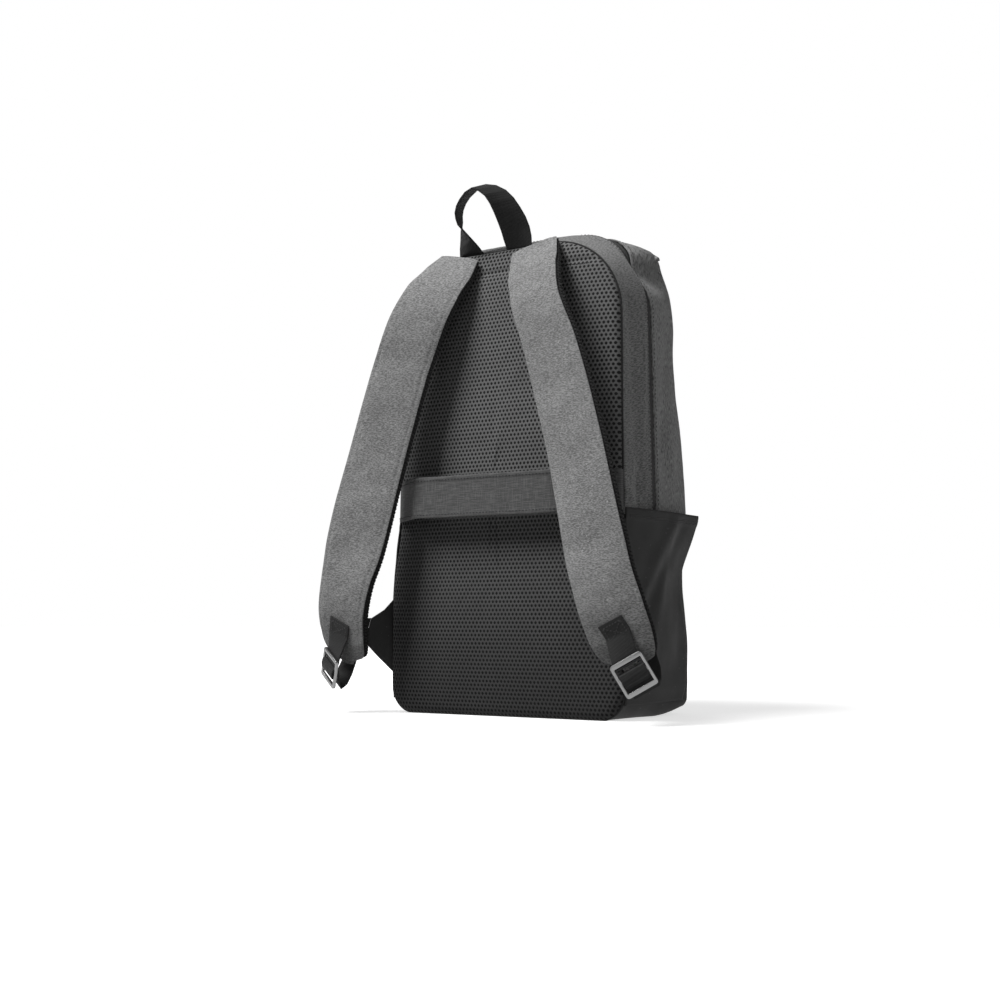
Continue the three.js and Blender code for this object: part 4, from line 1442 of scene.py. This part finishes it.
@dataclass
class SidePocket:
    """Black stretch pocket with a bound top edge."""

    side: int
    name: str
    form: BodyForm
    floor: float
    top: float
    wall: float = 1.6
    bulge: float = 9.0
    gap: float = 0.3
    binding: float = 11.0
    rows: int = 92
    columns: int = 64
    tuck: float = 0.07
    held_above: float = 14.0
    held_below: float = 30.0
    wave: float = 60.0
    wave_depth: float = 1.6
    crease_depth: float = 40.0
    crease_width: float = 9.0

    @classmethod
    def from_frame(cls, side: int, name: str, form: BodyForm) -> "SidePocket":
        """Takes the pocket's height from its node."""
        low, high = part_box(f"side_pocket_{name}")
        return cls(side, name, form, floor=low.z / MM, top=high.z / MM)

    def sheet(self) -> Array:
        """Points of the pocket's outer face, rows upwards and columns forwards."""
        share = np.linspace(0, 1, self.rows)[:, None]
        column = np.linspace(0, 1, self.columns)[None, :]
        z = self.floor + (self.top - self.floor) * share
        near = self.form.height / 24
        base = np.max([self.form.half_width_at(np.full(z.shape, self.side), z + away)
                       for away in (-near, 0, near)], axis=0)
        reach = self.form.depth_at(z) * POCKET.at("reach", share)
        arch = np.sin(math.pi * np.minimum(column, 0.5))
        fade = np.clip((column - 0.5) * 2, 0, 1)
        fade = fade * fade * (3 - 2 * fade)
        off = self.bulge * (POCKET.at("middle", share) * arch * (1 - fade)
                            + POCKET.at("front", share) * fade)
        tuck = np.clip(share / self.tuck, 0.1, 1)
        x = self.side * (base + (self.gap + self.wall) * tuck + off)
        y = self.gap + reach * column
        return np.stack(np.broadcast_arrays(x, y, z), axis=2)

    def build(self, cloths: dict[str, bpy.types.Material]) -> None:
        """Makes and dresses the pocket, its binding's stitches and its soft creases.

        Args:
            cloths: Materials by name.
        """
        points = self.sheet()
        outside = np.zeros(points.shape)
        outside[..., 0] = self.side
        down = self.top - points[..., 2]
        above = points[..., 2] - self.floor
        free = np.clip(down / self.held_above, 0, 1) * np.clip(above / self.held_below, 0, 1)
        stand = crumple(points, self.wave, self.wave_depth, 11 + self.side) * free
        for lean, height, rise in POCKET_CREASES:
            angle = math.radians(lean)
            across = ((points[..., 2] - height) * math.cos(angle)
                      - (points[..., 1] - self.crease_depth) * math.sin(angle))
            stand += rise * np.exp(-(across / self.crease_width) ** 2) * free
        bound = np.clip(1 - np.abs(down - self.binding / 2) / (self.binding / 2), 0, 1) ** 0.25
        stand += 0.55 * np.where(down < self.binding, bound, 0)
        points = points + outside * stand[..., None]
        cloth = cloth_grid(f"pocket_cloth_{self.name}", self.form.placed(points), self.wall,
                           Vector(self.form.placed(np.array((0.0, 60.0, 90.0)))) * MM)
        dress(cloth, cloths["base"], Slot.BASE, f"side_pocket_{self.name}")
        tree = surface_of(cloth)
        deep = np.linspace(2, float(self.form.depth_at(np.array(self.top))) * 0.97, 70)
        lines = []
        for below in (self.binding - 0.6, self.binding - 3.2):
            start = np.stack([np.full(deep.shape, self.side * (self.form.half_width + 18)), deep,
                              np.full(deep.shape, self.top - below)], axis=1)
            lines.append(on_surface(tree, self.form.placed(start)))
        dress(Thread(length=2.3).sew(f"pocket_stitches_{self.name}", lines),
              cloths["black_thread"], Slot.BASE)


# Back panel


PANEL = Table(("inward", "thick"), (
    (0.00, 0.10),
    (0.01, 0.30),
    (0.03, 0.44),
    (0.07, 0.57),
    (0.13, 0.70),
    (0.22, 0.82),
    (0.36, 0.92),
    (0.60, 0.98),
    (1.00, 1.00),
))


@dataclass
class BackPanel:
    """Padded spacer mesh against the wearer's back."""

    form: BodyForm
    thickness: float
    inset: float = 0.3
    rings: int = 15
    pressure: float = 2.6
    cap: float = 3.0
    seam_height: float = 428.0
    seam_depth: float = 1.6
    seam_width: float = 2.4
    crowding: float = 1.6
    innermost: float = 0.97
    wave: float = 55.0
    wave_depth: float = 1.6
    dimple: float = 19.0
    dimple_depth: float = 0.4
    seam_margin: float = 26.0

    @classmethod
    def from_frame(cls, form: BodyForm) -> "BackPanel":
        """Takes the padding's thickness from its node."""
        low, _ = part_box("back_panel")
        return cls(form, thickness=form.back - low.y / MM)

    def ring(self, inset: float, inward: float, back: float) -> Array:
        """One closed ring of the panel.

        Args:
            inset: How far inside the seam.
            inward: How far in towards the middle, as a share of half the width.
            back: How far behind the seam's plane it is.

        Returns:
            Points in millimetres.
        """
        side, q = self.form.columns(*PANEL_STEPS)
        middle = self.form.height / 2
        halves = []
        for upper in (True, False):
            x, z = self.form.outline(side, q, np.zeros(q.shape), np.full(q.shape, inset), upper)
            reach = 1 - self.form.half_width * inward / middle
            z = middle + (z - middle) * reach
            halves.append(np.stack([x * (1 - inward), np.full(q.shape, -back), z], axis=1))
        return self.form.placed(np.vstack([halves[0][::-1], halves[1][1:-1]]))

    def pillow(self) -> bpy.types.Object:
        """The panel's closed form, its edge on the seam and its back inside the bag."""
        inwards = np.linspace(0, 1, self.rings) ** self.crowding * self.innermost
        loops = [self.ring(self.inset + 4.0, 0, -5.0), self.ring(self.inset + 4.0, 0, -1.0),
                 self.ring(self.inset + 1.2, 0, -0.2)]
        loops += [self.ring(self.inset, inward, self.thickness * float(PANEL.at("thick", inward)))
                  for inward in inwards]
        count = len(loops[0])
        last = (len(loops) - 1) * count
        obj = new_piece("back_panel_mesh", np.vstack(loops), ring_faces(len(loops), count))
        pick(obj)
        for first in (0, last):
            self.cap_ring(obj, range(first, first + count))
        face_out(obj)
        return obj

    def cap_ring(self, obj: bpy.types.Object, ring: Sequence[int]) -> None:
        """Closes an end ring with a grid of faces.

        Args:
            obj: The open form.
            ring: The ring's vertices.
        """
        bpy.ops.object.mode_set(mode="EDIT")
        bpy.ops.mesh.select_all(action="DESELECT")
        bpy.ops.object.mode_set(mode="OBJECT")
        for index in ring:
            obj.data.vertices[index].select = True
        bpy.ops.object.mode_set(mode="EDIT")
        bpy.ops.mesh.select_mode(type="VERT")
        bpy.ops.mesh.edge_face_add()
        bpy.ops.mesh.poke()
        bpy.ops.object.mode_set(mode="OBJECT")

    def build(self, cloths: dict[str, bpy.types.Material]) -> None:
        """Makes the panel by a short cloth simulation and dresses it.

        Args:
            cloths: Materials by name.
        """
        panel = self.pillow()
        places = corners(panel) / MM
        back = self.form.back - places[:, 1]
        held = np.where(back < self.thickness * 0.5)[0]
        stand = (crumple(places[None], self.wave, self.wave_depth, 31)[0]
                 + crumple(places[None], self.dimple, self.dimple_depth, 33)[0])
        places[:, 1] -= stand * np.clip((back / self.thickness - 0.5) * 2.2, 0, 1)
        shape(panel, places * MM)
        inflate(panel, self.pressure, self.cap, held)
        round_off(panel, 2)
        places = corners(panel)
        height = places[:, 2] / MM
        sewn = np.exp(-((height - self.seam_height) / self.seam_width) ** 2)
        facing = np.clip((self.form.back - 2 - places[:, 1] / MM) / 4, 0, 1)
        places[:, 1] += self.seam_depth * sewn * facing * MM
        shape(panel, places)
        smooth(panel)
        dress(panel, cloths["mesh"], Slot.MESH, "back_panel")
        self.seam(panel, cloths)

    def seam(self, panel: bpy.types.Object, cloths: dict[str, bpy.types.Material]) -> None:
        """Sews the line across the panel below the strap roots.

        Args:
            panel: The finished panel.
            cloths: Materials by name.
        """
        low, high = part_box("back_panel")
        across = np.linspace(low.x / MM + self.seam_margin, high.x / MM - self.seam_margin, 160)
        line = np.stack([across, np.full(across.shape, low.y / MM - 5),
                         np.full(across.shape, self.seam_height)], axis=1)
        stitched = on_surface(surface_of(panel), line)
        dress(Thread(length=2.6).sew("panel_stitches", [stitched]), cloths["black_thread"],
              Slot.MESH)


CLOTH_QUALITY = 4
CLOTH_FRAMES = 20


def inflate(obj: bpy.types.Object, pressure: float, cap: float, held: Array) -> None:
    """Fills a closed piece by a cloth simulation, with a limit on how far a point moves.

    Args:
        obj: The closed piece.
        pressure: Pressure inside.
        cap: Furthest that a point may move, in millimetres.
        held: Vertices that are sewn down and stay.
    """
    target = corners(obj)
    group = obj.vertex_groups.new(name="sewn")
    group.add([int(index) for index in held], 1.0, "REPLACE")
    pick(obj)
    cloth = obj.modifiers.new("Cloth", "CLOTH")
    cloth.settings.use_pressure = True
    cloth.settings.uniform_pressure_force = pressure
    cloth.settings.effector_weights.gravity = 0
    cloth.settings.vertex_group_mass = group.name
    cloth.settings.quality = CLOTH_QUALITY
    scene = bpy.context.scene
    for step in range(1, CLOTH_FRAMES + 1):
        scene.frame_set(step)
    bpy.ops.object.modifier_apply(modifier=cloth.name)
    obj.vertex_groups.clear()
    moved = corners(obj) - target
    far = np.linalg.norm(moved, axis=1)[:, None]
    shape(obj, target + moved * np.minimum(1, cap * MM / np.maximum(far, 1e-9)))
    scene.frame_set(1)


# Shoulder straps


STRAP = Table(("row", "height", "reach", "off", "width", "thick", "turn"), (
    (0, 1.000, 0.270, 0.21, 0.76, 0.55, 4),
    (1, 0.962, 0.305, 0.39, 0.86, 0.85, 12),
    (2, 0.915, 0.355, 0.61, 0.90, 1.00, 15),
    (3, 0.850, 0.418, 0.77, 0.91, 1.00, 14),
    (4, 0.757, 0.520, 0.81, 0.94, 1.00, 10),
    (5, 0.668, 0.600, 0.84, 0.96, 1.00, 9),
    (6, 0.557, 0.690, 0.88, 0.97, 1.00, 9),
    (7, 0.445, 0.772, 0.94, 1.00, 1.00, 9),
    (8, 0.356, 0.835, 0.98, 1.00, 1.00, 6),
    (9, 0.290, 0.888, 1.00, 0.95, 1.00, -1),
    (10, 0.223, 0.940, 0.95, 0.95, 1.00, -7),
    (11, 0.165, 0.973, 0.81, 0.92, 0.95, -11),
    (12, 0.130, 0.987, 0.68, 0.78, 0.80, -12),
    (13, 0.108, 0.990, 0.59, 0.44, 0.55, -12),
))


@dataclass
class ShoulderStrap:
    """Padded strap: a melange face over a mesh pad, with ribbed edges."""

    side: int
    name: str
    back: float
    top: float = 449.0
    width: float = 64.0
    thickness: float = 13.0
    reach: float = 160.0
    stand: float = 67.0
    cover: float = 1.8
    edge_round: float = 1.8
    rib_pitch: float = 3.8
    rib_rise: float = 1.3
    step: float = 1.5
    edge_most: float = 0.42
    edge_power: int = 5
    hem_off: float = 4.2
    hem_width: float = 0.9
    hem_sink: float = 0.45
    around: int = 64
    squareness: float = 0.42
    rim_from: float = 0.93
    rim_width: float = 0.06

    def stations(self) -> dict[str, Array]:
        """Middle line of the face and its directions, evenly spaced along the strap.

        Returns:
            Arrays of places, across, out, width and thickness, and the run in millimetres.
        """
        rows = np.linspace(0, 13, 700)
        line = np.stack([self.side * self.reach * STRAP.at("reach", rows),
                         self.back - self.stand * STRAP.at("off", rows),
                         self.top * STRAP.at("height", rows)], axis=1)
        run = np.concatenate([[0.0], np.cumsum(np.linalg.norm(np.diff(line, axis=0), axis=1))])
        even = np.linspace(0, run[-1], int(run[-1] / self.step))
        row = np.interp(even, run, rows)
        at = np.stack([np.interp(even, run, line[:, axis]) for axis in range(3)], axis=1)
        along = np.gradient(at, axis=0)
        along /= np.linalg.norm(along, axis=1)[:, None]
        turn = np.radians(STRAP.at("turn", row))
        across = np.stack([self.side * np.cos(turn), -np.sin(turn), 0 * turn], axis=1)
        across -= along * np.sum(across * along, axis=1)[:, None]
        across /= np.linalg.norm(across, axis=1)[:, None]
        out = np.cross(along, across) * self.side
        tip = np.sqrt(np.clip((even[-1] - even) / 9.0, 0.02, 1))
        return {"at": at, "across": across, "out": out, "run": even,
                "width": self.width * STRAP.at("width", row) * np.maximum(tip, 0.55),
                "thick": self.thickness * STRAP.at("thick", row) * tip}

    def spot(self, line: dict[str, Array], across: Array, out: Array) -> Array:
        """Points of a section at every station.

        Args:
            line: The stations.
            across: Offsets across the face for each station and point, in millimetres.
            out: Offsets out of the face.

        Returns:
            Stations by points by x, y and z.
        """
        return (line["at"][:, None] + line["across"][:, None] * across[..., None]
                + line["out"][:, None] * out[..., None])

    def face(self) -> bpy.types.Object:
        """The melange face, crowned and turned down over the pad's edges."""
        line = self.stations()
        share = np.sin(np.linspace(-1, 1, 47) * math.pi / 2)[None, :]
        half = (line["width"] / 2)[:, None]
        across = share * half
        rounding = np.minimum(self.edge_round, line["thick"] * self.edge_most)[:, None]
        down = rounding * np.abs(share) ** self.edge_power
        points = self.spot(line, across, -down + 0 * across)
        free = np.clip((1 - np.abs(share)) * 4, 0, 1) * np.ones(half.shape)
        ends = np.clip(line["run"] / 14, 0, 1) * np.clip((line["run"][-1] - line["run"]) / 14, 0, 1)
        stand = crumple(points, 48.0, 1.3, 21 + self.side) * free * ends[:, None]
        stand += crumple(points, 17.0, 0.35, 25 + self.side) * free
        seam = np.exp(-((np.abs(across) - half + self.hem_off) / self.hem_width) ** 2)
        seam = seam * -self.hem_sink
        points = points + line["out"][:, None] * (stand + seam)[..., None]
        middle = Vector(line["at"].mean(axis=0) - 60 * line["out"].mean(axis=0)) * MM
        return cloth_grid(f"strap_face_{self.name}", points, self.cover, middle)

    def pad(self) -> bpy.types.Object:
        """The mesh pad under the face, with chevron ribs round its edges."""
        line = self.stations()
        count = self.around
        turns = np.arange(count) * 2 * math.pi / count
        half = (line["width"] / 2 - 0.2)[:, None]
        low = line["thick"][:, None]
        rounding = np.minimum(self.edge_round, low * self.edge_most)
        top = -self.cover - 0.3
        share = np.abs(np.cos(turns))[None, :] ** self.squareness
        across = np.sign(np.cos(turns))[None, :] * share * half
        upper = top - rounding * share ** self.edge_power
        lower = -low + 1.2 * share ** self.edge_power
        blend = ((np.sign(np.sin(turns)) * np.abs(np.sin(turns)) ** 0.5)[None, :] + 1) / 2
        out = lower + (upper - lower) * blend
        rim = np.clip((share - self.rim_from) / self.rim_width, 0, 1)
        middle = upper + (lower - upper) * 0.42
        slant = np.abs(out - middle)
        ribs = 0.5 + 0.5 * np.sin(2 * math.pi * (line["run"][:, None] + slant) / self.rib_pitch)
        swell = (0.5 + self.rib_rise * (ribs - 0.5)) * rim
        across = across + np.sign(across) * swell
        points = self.spot(line, across, out)
        last = (len(points) - 1) * count
        faces = ring_faces(len(points), count)
        faces += [tuple(range(count)), tuple(range(last + count - 1, last - 1, -1))]
        pad = closed_piece(f"strap_padding_{self.name}", points.reshape(-1, 3), faces, 70)
        # These values also steer the painted shade and painted highlight of the ribs in the strap
        # mesh material
        for label, values in (("ribs", ribs), ("rim", rim)):
            spread = np.broadcast_to(values, across.shape).astype(np.float32).ravel()
            pad.data.attributes.new(label, "FLOAT", "POINT").data.foreach_set("value", spread)
        return pad

    def build(self, cloths: dict[str, bpy.types.Material]) -> None:
        """Makes and dresses the strap's face and pad.

        Args:
            cloths: Materials by name.
        """
        dress(self.face(), cloths["strap"], Slot.STRAP, f"strap_cover_{self.name}")
        pad = self.pad()
        dress(pad, cloths["strap_mesh"], Slot.MESH, f"strap_pad_{self.name}")


# Webbing, wings, band, handle


@dataclass
class FlatPiece:
    """Webbing or cloth whose form is its node's, with a finer surface."""

    node: str
    name: str
    cloth: str
    slot: Slot
    levels: int = 3
    crease: float = 1.0
    sharp: float = 50.0
    bevel: float = 0.35
    smoothed: float = 60.0

    def build(self, cloths: dict[str, bpy.types.Material]) -> bpy.types.Object:
        """Makes and dresses the piece.

        Args:
            cloths: Materials by name.

        Returns:
            The piece.
        """
        obj = copy_node(self.node, self.name)
        with editing(obj, "DESELECT"):
            bpy.ops.mesh.edges_select_sharp(sharpness=math.radians(self.sharp))
            bpy.ops.transform.edge_crease(value=self.crease)
        round_off(obj, self.levels)
        change(obj, "BEVEL", width=self.bevel * MM, segments=2, limit_method="ANGLE",
               angle_limit=math.radians(self.sharp))
        smooth(obj, self.smoothed)
        return dress(obj, cloths[self.cloth], self.slot, self.node)


@dataclass
class TrolleyBand:
    """Heather band across the back, sewn down at both sides."""

    form: BodyForm
    height: float
    bottom: float
    stand: float
    left: float
    right: float
    thickness: float = 1.5
    flat_half: float = 79.0
    hem: float = 4.0
    rows: int = 26
    wave: float = 45.0
    lip: float = 0.35
    sag: float = 1.1
    sag_share: float = 0.8
    sway: float = 0.7
    seam_steps: int = 8
    fold_rows: tuple[tuple[float, float], ...] = (
        (0.0, 0.01), (0.02, 0.15), (0.12, 0.26), (0.50, 0.58), (0.91, 0.90))
    flat_rows: tuple[tuple[float, float], ...] = ((0.02, 0.97), (0.12, 0.99), (0.55, 1.0))

    @classmethod
    def from_frame(cls, form: BodyForm) -> "TrolleyBand":
        """Takes the band's place from its node."""
        low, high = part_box("trolley_band")
        return cls(form, height=(high.z - low.z) / MM, bottom=low.z / MM,
                   stand=form.back - low.y / MM,
                   left=form.edge_at(-1, low.z / MM) + 0.5, right=form.edge_at(1, low.z / MM) + 0.5)

    def path(self) -> Array:
        """Middle line of the band in x and y, from left to right."""
        points = []
        for side, edge in ((-1, self.left), (1, self.right)):
            fold = edge - self.flat_half
            half = [(edge - fold * inward, self.stand * back) for inward, back in self.fold_rows]
            half += [(self.flat_half * (1 - inward), self.stand * back)
                     for inward, back in self.flat_rows]
            half = [(side * x, self.form.back - y) for x, y in half]
            points += half if side < 0 else half[::-1]
        rows = [(float(i), *point) for i, point in enumerate(points)]
        table = Table(("step", "x", "y"), rows)
        steps = np.linspace(0, len(points) - 1, 190)
        return np.stack([table.at("x", steps), table.at("y", steps)], axis=1)

    def build(self, cloths: dict[str, bpy.types.Material]) -> None:
        """Makes and dresses the band and its stitches.

        Args:
            cloths: Materials by name.
        """
        path = self.path()
        up = np.linspace(0, 1, self.rows)
        wave = np.array([noise.noise(Vector((x / self.wave, 0.3, 0.7))) for x, _ in path])
        points = np.zeros((len(up), len(path), 3))
        for row, share in enumerate(up):
            edge = min(share, 1 - share) * self.height
            lip = self.lip if edge < self.hem else 0.0
            sag = self.sag * wave * (share - 0.5) * 2
            points[row, :, 0] = path[:, 0]
            points[row, :, 1] = path[:, 1] - lip + sag * self.sag_share
            points[row, :, 2] = self.bottom + self.height * share + wave * self.sway
        band = cloth_grid("trolley_band_cloth", points, self.thickness,
                          Vector((0.0, 0.05, 0.21)))
        dress(band, cloths["heather"], Slot.HEATHER, "trolley_band")
        tree = surface_of(band)
        lines = []
        sewn = path[self.seam_steps:-self.seam_steps]
        for share in (self.hem / self.height, 1 - self.hem / self.height):
            z = self.bottom + self.height * share
            line = np.stack([sewn[:, 0], sewn[:, 1] - 3, np.full(len(sewn), z)], axis=1)
            lines.append(on_surface(tree, line))
        dress(Thread(length=2.4).sew("band_stitches", lines), cloths["black_thread"], Slot.HEATHER)


@dataclass
class StrapTab:
    """Sewn webbing tab on a strap's end, with its box of cross stitches."""

    name: str
    width: float = 25.0
    inset: float = 3.2
    reach: float = 18.0
    slop: float = 0.4
    cap_depth: float = 3.0

    def build(self, cloths: dict[str, bpy.types.Material]) -> None:
        """Makes and dresses the tab and its stitches.

        Args:
            cloths: Materials by name.
        """
        node = f"strap_tab_{self.name}"
        tab = FlatPiece(node, f"tab_webbing_{self.name}", "webbing", Slot.WEBBING).build(cloths)
        rough = copy_node(node, "tab_measure", quads=False)
        places = corners(rough) / MM
        edges = [(places[e.vertices[0]], places[e.vertices[1]]) for e in rough.data.edges]
        bpy.data.objects.remove(rough)
        ends = [pair for pair in edges
                if abs(np.linalg.norm(pair[1] - pair[0]) - self.width) < self.slop]
        high = max(pair[0][2] + pair[1][2] for pair in ends)
        cap = [pair for pair in ends if pair[0][2] + pair[1][2] > high - self.cap_depth]
        first, second = min(cap, key=lambda pair: pair[0][1] + pair[1][1])
        if first[0] > second[0]:
            first, second = second, first
        across = (second - first) / np.linalg.norm(second - first)
        tree = surface_of(tab)
        middle = (first + second) / 2
        normal = np.array(tree.find_nearest(Vector(middle - np.array((0, 1, 4))) * MM)[1])
        run = np.cross(normal, across)
        run *= -1 if run[2] > 0 else 1
        half = self.width / 2 - self.inset
        near, far = middle + run * self.inset, middle + run * self.reach
        box = [near - across * half, near + across * half,
               far + across * half, far - across * half]
        pairs = [(0, 1), (1, 2), (2, 3), (3, 0), (0, 2), (1, 3)]
        lines = [on_surface(tree, line_between(box[a], box[b])) for a, b in pairs]
        dress(Thread(length=1.9, gap=0.9, radius=0.34).sew(f"tab_stitches_{self.name}", lines),
              cloths["tab_thread"], Slot.WEBBING)


@dataclass
class Hardware:
    """Metal piece: its node's form with broken edges."""

    node: str
    name: str
    slot: Slot
    bevel: float
    flat: float = 2.0
    sharp: float = 25.0
    smoothed: float = 40.0

    def build(self, cloths: dict[str, bpy.types.Material]) -> None:
        """Makes and dresses the piece.

        Args:
            cloths: Materials by name.
        """
        obj = copy_node(self.node, self.name, quads=False)
        with editing(obj):
            bpy.ops.mesh.dissolve_limited(angle_limit=math.radians(self.flat))
        change(obj, "BEVEL", width=self.bevel * MM, segments=3, limit_method="ANGLE",
               angle_limit=math.radians(self.sharp), use_clamp_overlap=True)
        smooth(obj, self.smoothed)
        dress(obj, cloths[self.slot.value], self.slot, self.node)


# Stage


@dataclass(frozen=True)
class Studio:
    """Pale floor, soft lamps and the camera, in metres."""

    lens: float = 50.0
    sensor: float = 36.0
    camera: tuple[float, float, float] = (0.7244, -1.1652, 0.0905)
    target: tuple[float, float, float] = (-0.0037, -0.044, 0.207)
    floor: float = 30.0
    key: float = 89.0
    fill: float = 2.0
    ambient: float = 0.2

    def aim(self, place: Sequence[float]) -> Euler:
        """Turn of a lamp or camera that looks at the bag from a place."""
        return (Vector(self.target) - Vector(place)).to_track_quat("-Z", "Y").to_euler()

    def lamp(self, name: str, place: Sequence[float], size: float, power: float) -> None:
        """Adds a square soft lamp that looks at the bag.

        Args:
            name: Its name.
            place: Where it hangs.
            size: Length of its side.
            power: Watts.
        """
        data = bpy.data.lights.new(name, "AREA")
        data.shape = "SQUARE"
        data.size = size
        data.energy = power
        obj = bpy.data.objects.new(name, data)
        obj.location = place
        obj.rotation_euler = self.aim(place)
        bpy.context.scene.collection.objects.link(obj)

    def build(self, cloths: dict[str, bpy.types.Material]) -> None:
        """Sets up the floor, the world, the lamps and the camera.

        Args:
            cloths: Materials by name.
        """
        bpy.ops.object.select_all(action="DESELECT")
        bpy.ops.mesh.primitive_plane_add(size=self.floor)
        paper = bpy.context.object
        paper.name = "floor_paper"
        paper.data.materials.append(cloths["paper"])
        paper.visible_diffuse = False
        scene = bpy.context.scene
        world = bpy.data.worlds.new("studio")
        scene.world = world
        world.use_nodes = True
        nodes, links = world.node_tree.nodes, world.node_tree.links
        soft = nodes["Background"]
        soft.inputs["Color"].default_value = (1, 1, 1, 1)
        soft.inputs["Strength"].default_value = self.ambient
        white = nodes.new("ShaderNodeBackground")
        white.inputs["Color"].default_value = (1, 1, 1, 1)
        white.inputs["Strength"].default_value = 1.0
        seen = nodes.new("ShaderNodeLightPath")
        both = nodes.new("ShaderNodeMixShader")
        links.new(seen.outputs["Is Camera Ray"], both.inputs[0])
        links.new(soft.outputs[0], both.inputs[1])
        links.new(white.outputs[0], both.inputs[2])
        links.new(both.outputs[0], nodes["World Output"].inputs[0])
        self.lamp("key_lamp", (-0.8, -1.6, 2.65), 1.3, self.key)
        self.lamp("fill_lamp", (2.6, -1.2, 1.0), 1.5, self.fill)
        scene.view_settings.view_transform = "Standard"
        data = bpy.data.cameras.new("camera")
        data.lens = self.lens
        data.sensor_width = self.sensor
        data.sensor_fit = "HORIZONTAL"
        data.clip_end = 100
        camera = bpy.data.objects.new("camera", data)
        camera.location = self.camera
        camera.rotation_euler = self.aim(self.camera)
        scene.collection.objects.link(camera)
        scene.camera = camera


def make_cloths() -> dict[str, bpy.types.Material]:
    """Makes every finish once.

    Returns:
        Materials by name.
    """
    finishes = {
        "melange": Melange("melange", 0.09, 0.31, (1.0, 5.0, 1.0), Space.FLAT),
        "front_melange": Melange("front_melange", 0.13, 0.42, (4.5, 1.0, 1.0), Space.FLAT),
        "strap": Melange("strap_melange", 0.13, 0.38, (2.4, 2.4, 0.7), Space.OBJECT, thread=0.55),
        "base": PlainCloth("base_cloth", 0.042, Space.FLAT),
        "wing_cloth": PlainCloth("wing_cloth", 0.034, Space.OBJECT),
        "binding": PlainCloth("binding", 0.022, Space.OBJECT),
        "mesh": AirMesh("air_mesh", 0.2),
        "strap_mesh": AirMesh("strap_mesh", 0.06, ribbed=True),
        "heather": Heather("heather", 0.045, 0.17),
        "webbing": Webbing("webbing", 0.035),
        "handle_webbing": Webbing("handle_webbing", 0.024),
        "zip": Coil("zip_coil", 0.03),
        "buckle_metal": Metal("buckle_plating", 0.24, 0.34),
        "slider_metal": Metal("slider_plating", 0.2, 0.35),
        "grey_thread": Yarn("grey_thread", 0.07),
        "black_thread": Yarn("black_thread", 0.025),
        "tab_thread": Yarn("tab_thread", 0.045),
        "paper": Paper("paper", 0.9, 0.62),
    }
    return {name: finish.make() for name, finish in finishes.items()}


def main() -> None:
    """Builds the bag, the stage and the camera in order."""
    cloths = make_cloths()
    Studio().build(cloths)
    form = BodyForm.from_frame()
    LOG.info("body %.0f x %.0f x %.0f mm", 2 * form.half_width, form.depth, form.height)
    Body(form).build(cloths)
    BackPanel.from_frame(form).build(cloths)
    TrolleyBand.from_frame(form).build(cloths)
    FlatPiece("grab_handle", "handle_webbing_loop", "handle_webbing", Slot.WEBBING).build(cloths)
    for name, side in SIDES.items():
        SidePocket.from_frame(side, name, form).build(cloths)
        ShoulderStrap(side, name, form.back).build(cloths)
        StrapTab(name).build(cloths)
        FlatPiece(f"adjuster_{name}", f"adjuster_webbing_{name}", "webbing",
                  Slot.WEBBING).build(cloths)
        FlatPiece(f"wing_{name}", f"wing_cloth_{name}", "wing_cloth", Slot.BASE).build(cloths)
        Hardware(f"buckle_{name}", f"buckle_metal_{name}", Slot.BUCKLE, 0.7).build(cloths)
    for name in ("upper", "lower"):
        Hardware(f"zip_slider_{name}", f"slider_metal_{name}", Slot.SLIDER, 0.4).build(cloths)


if __name__ == "__main__":
    main()
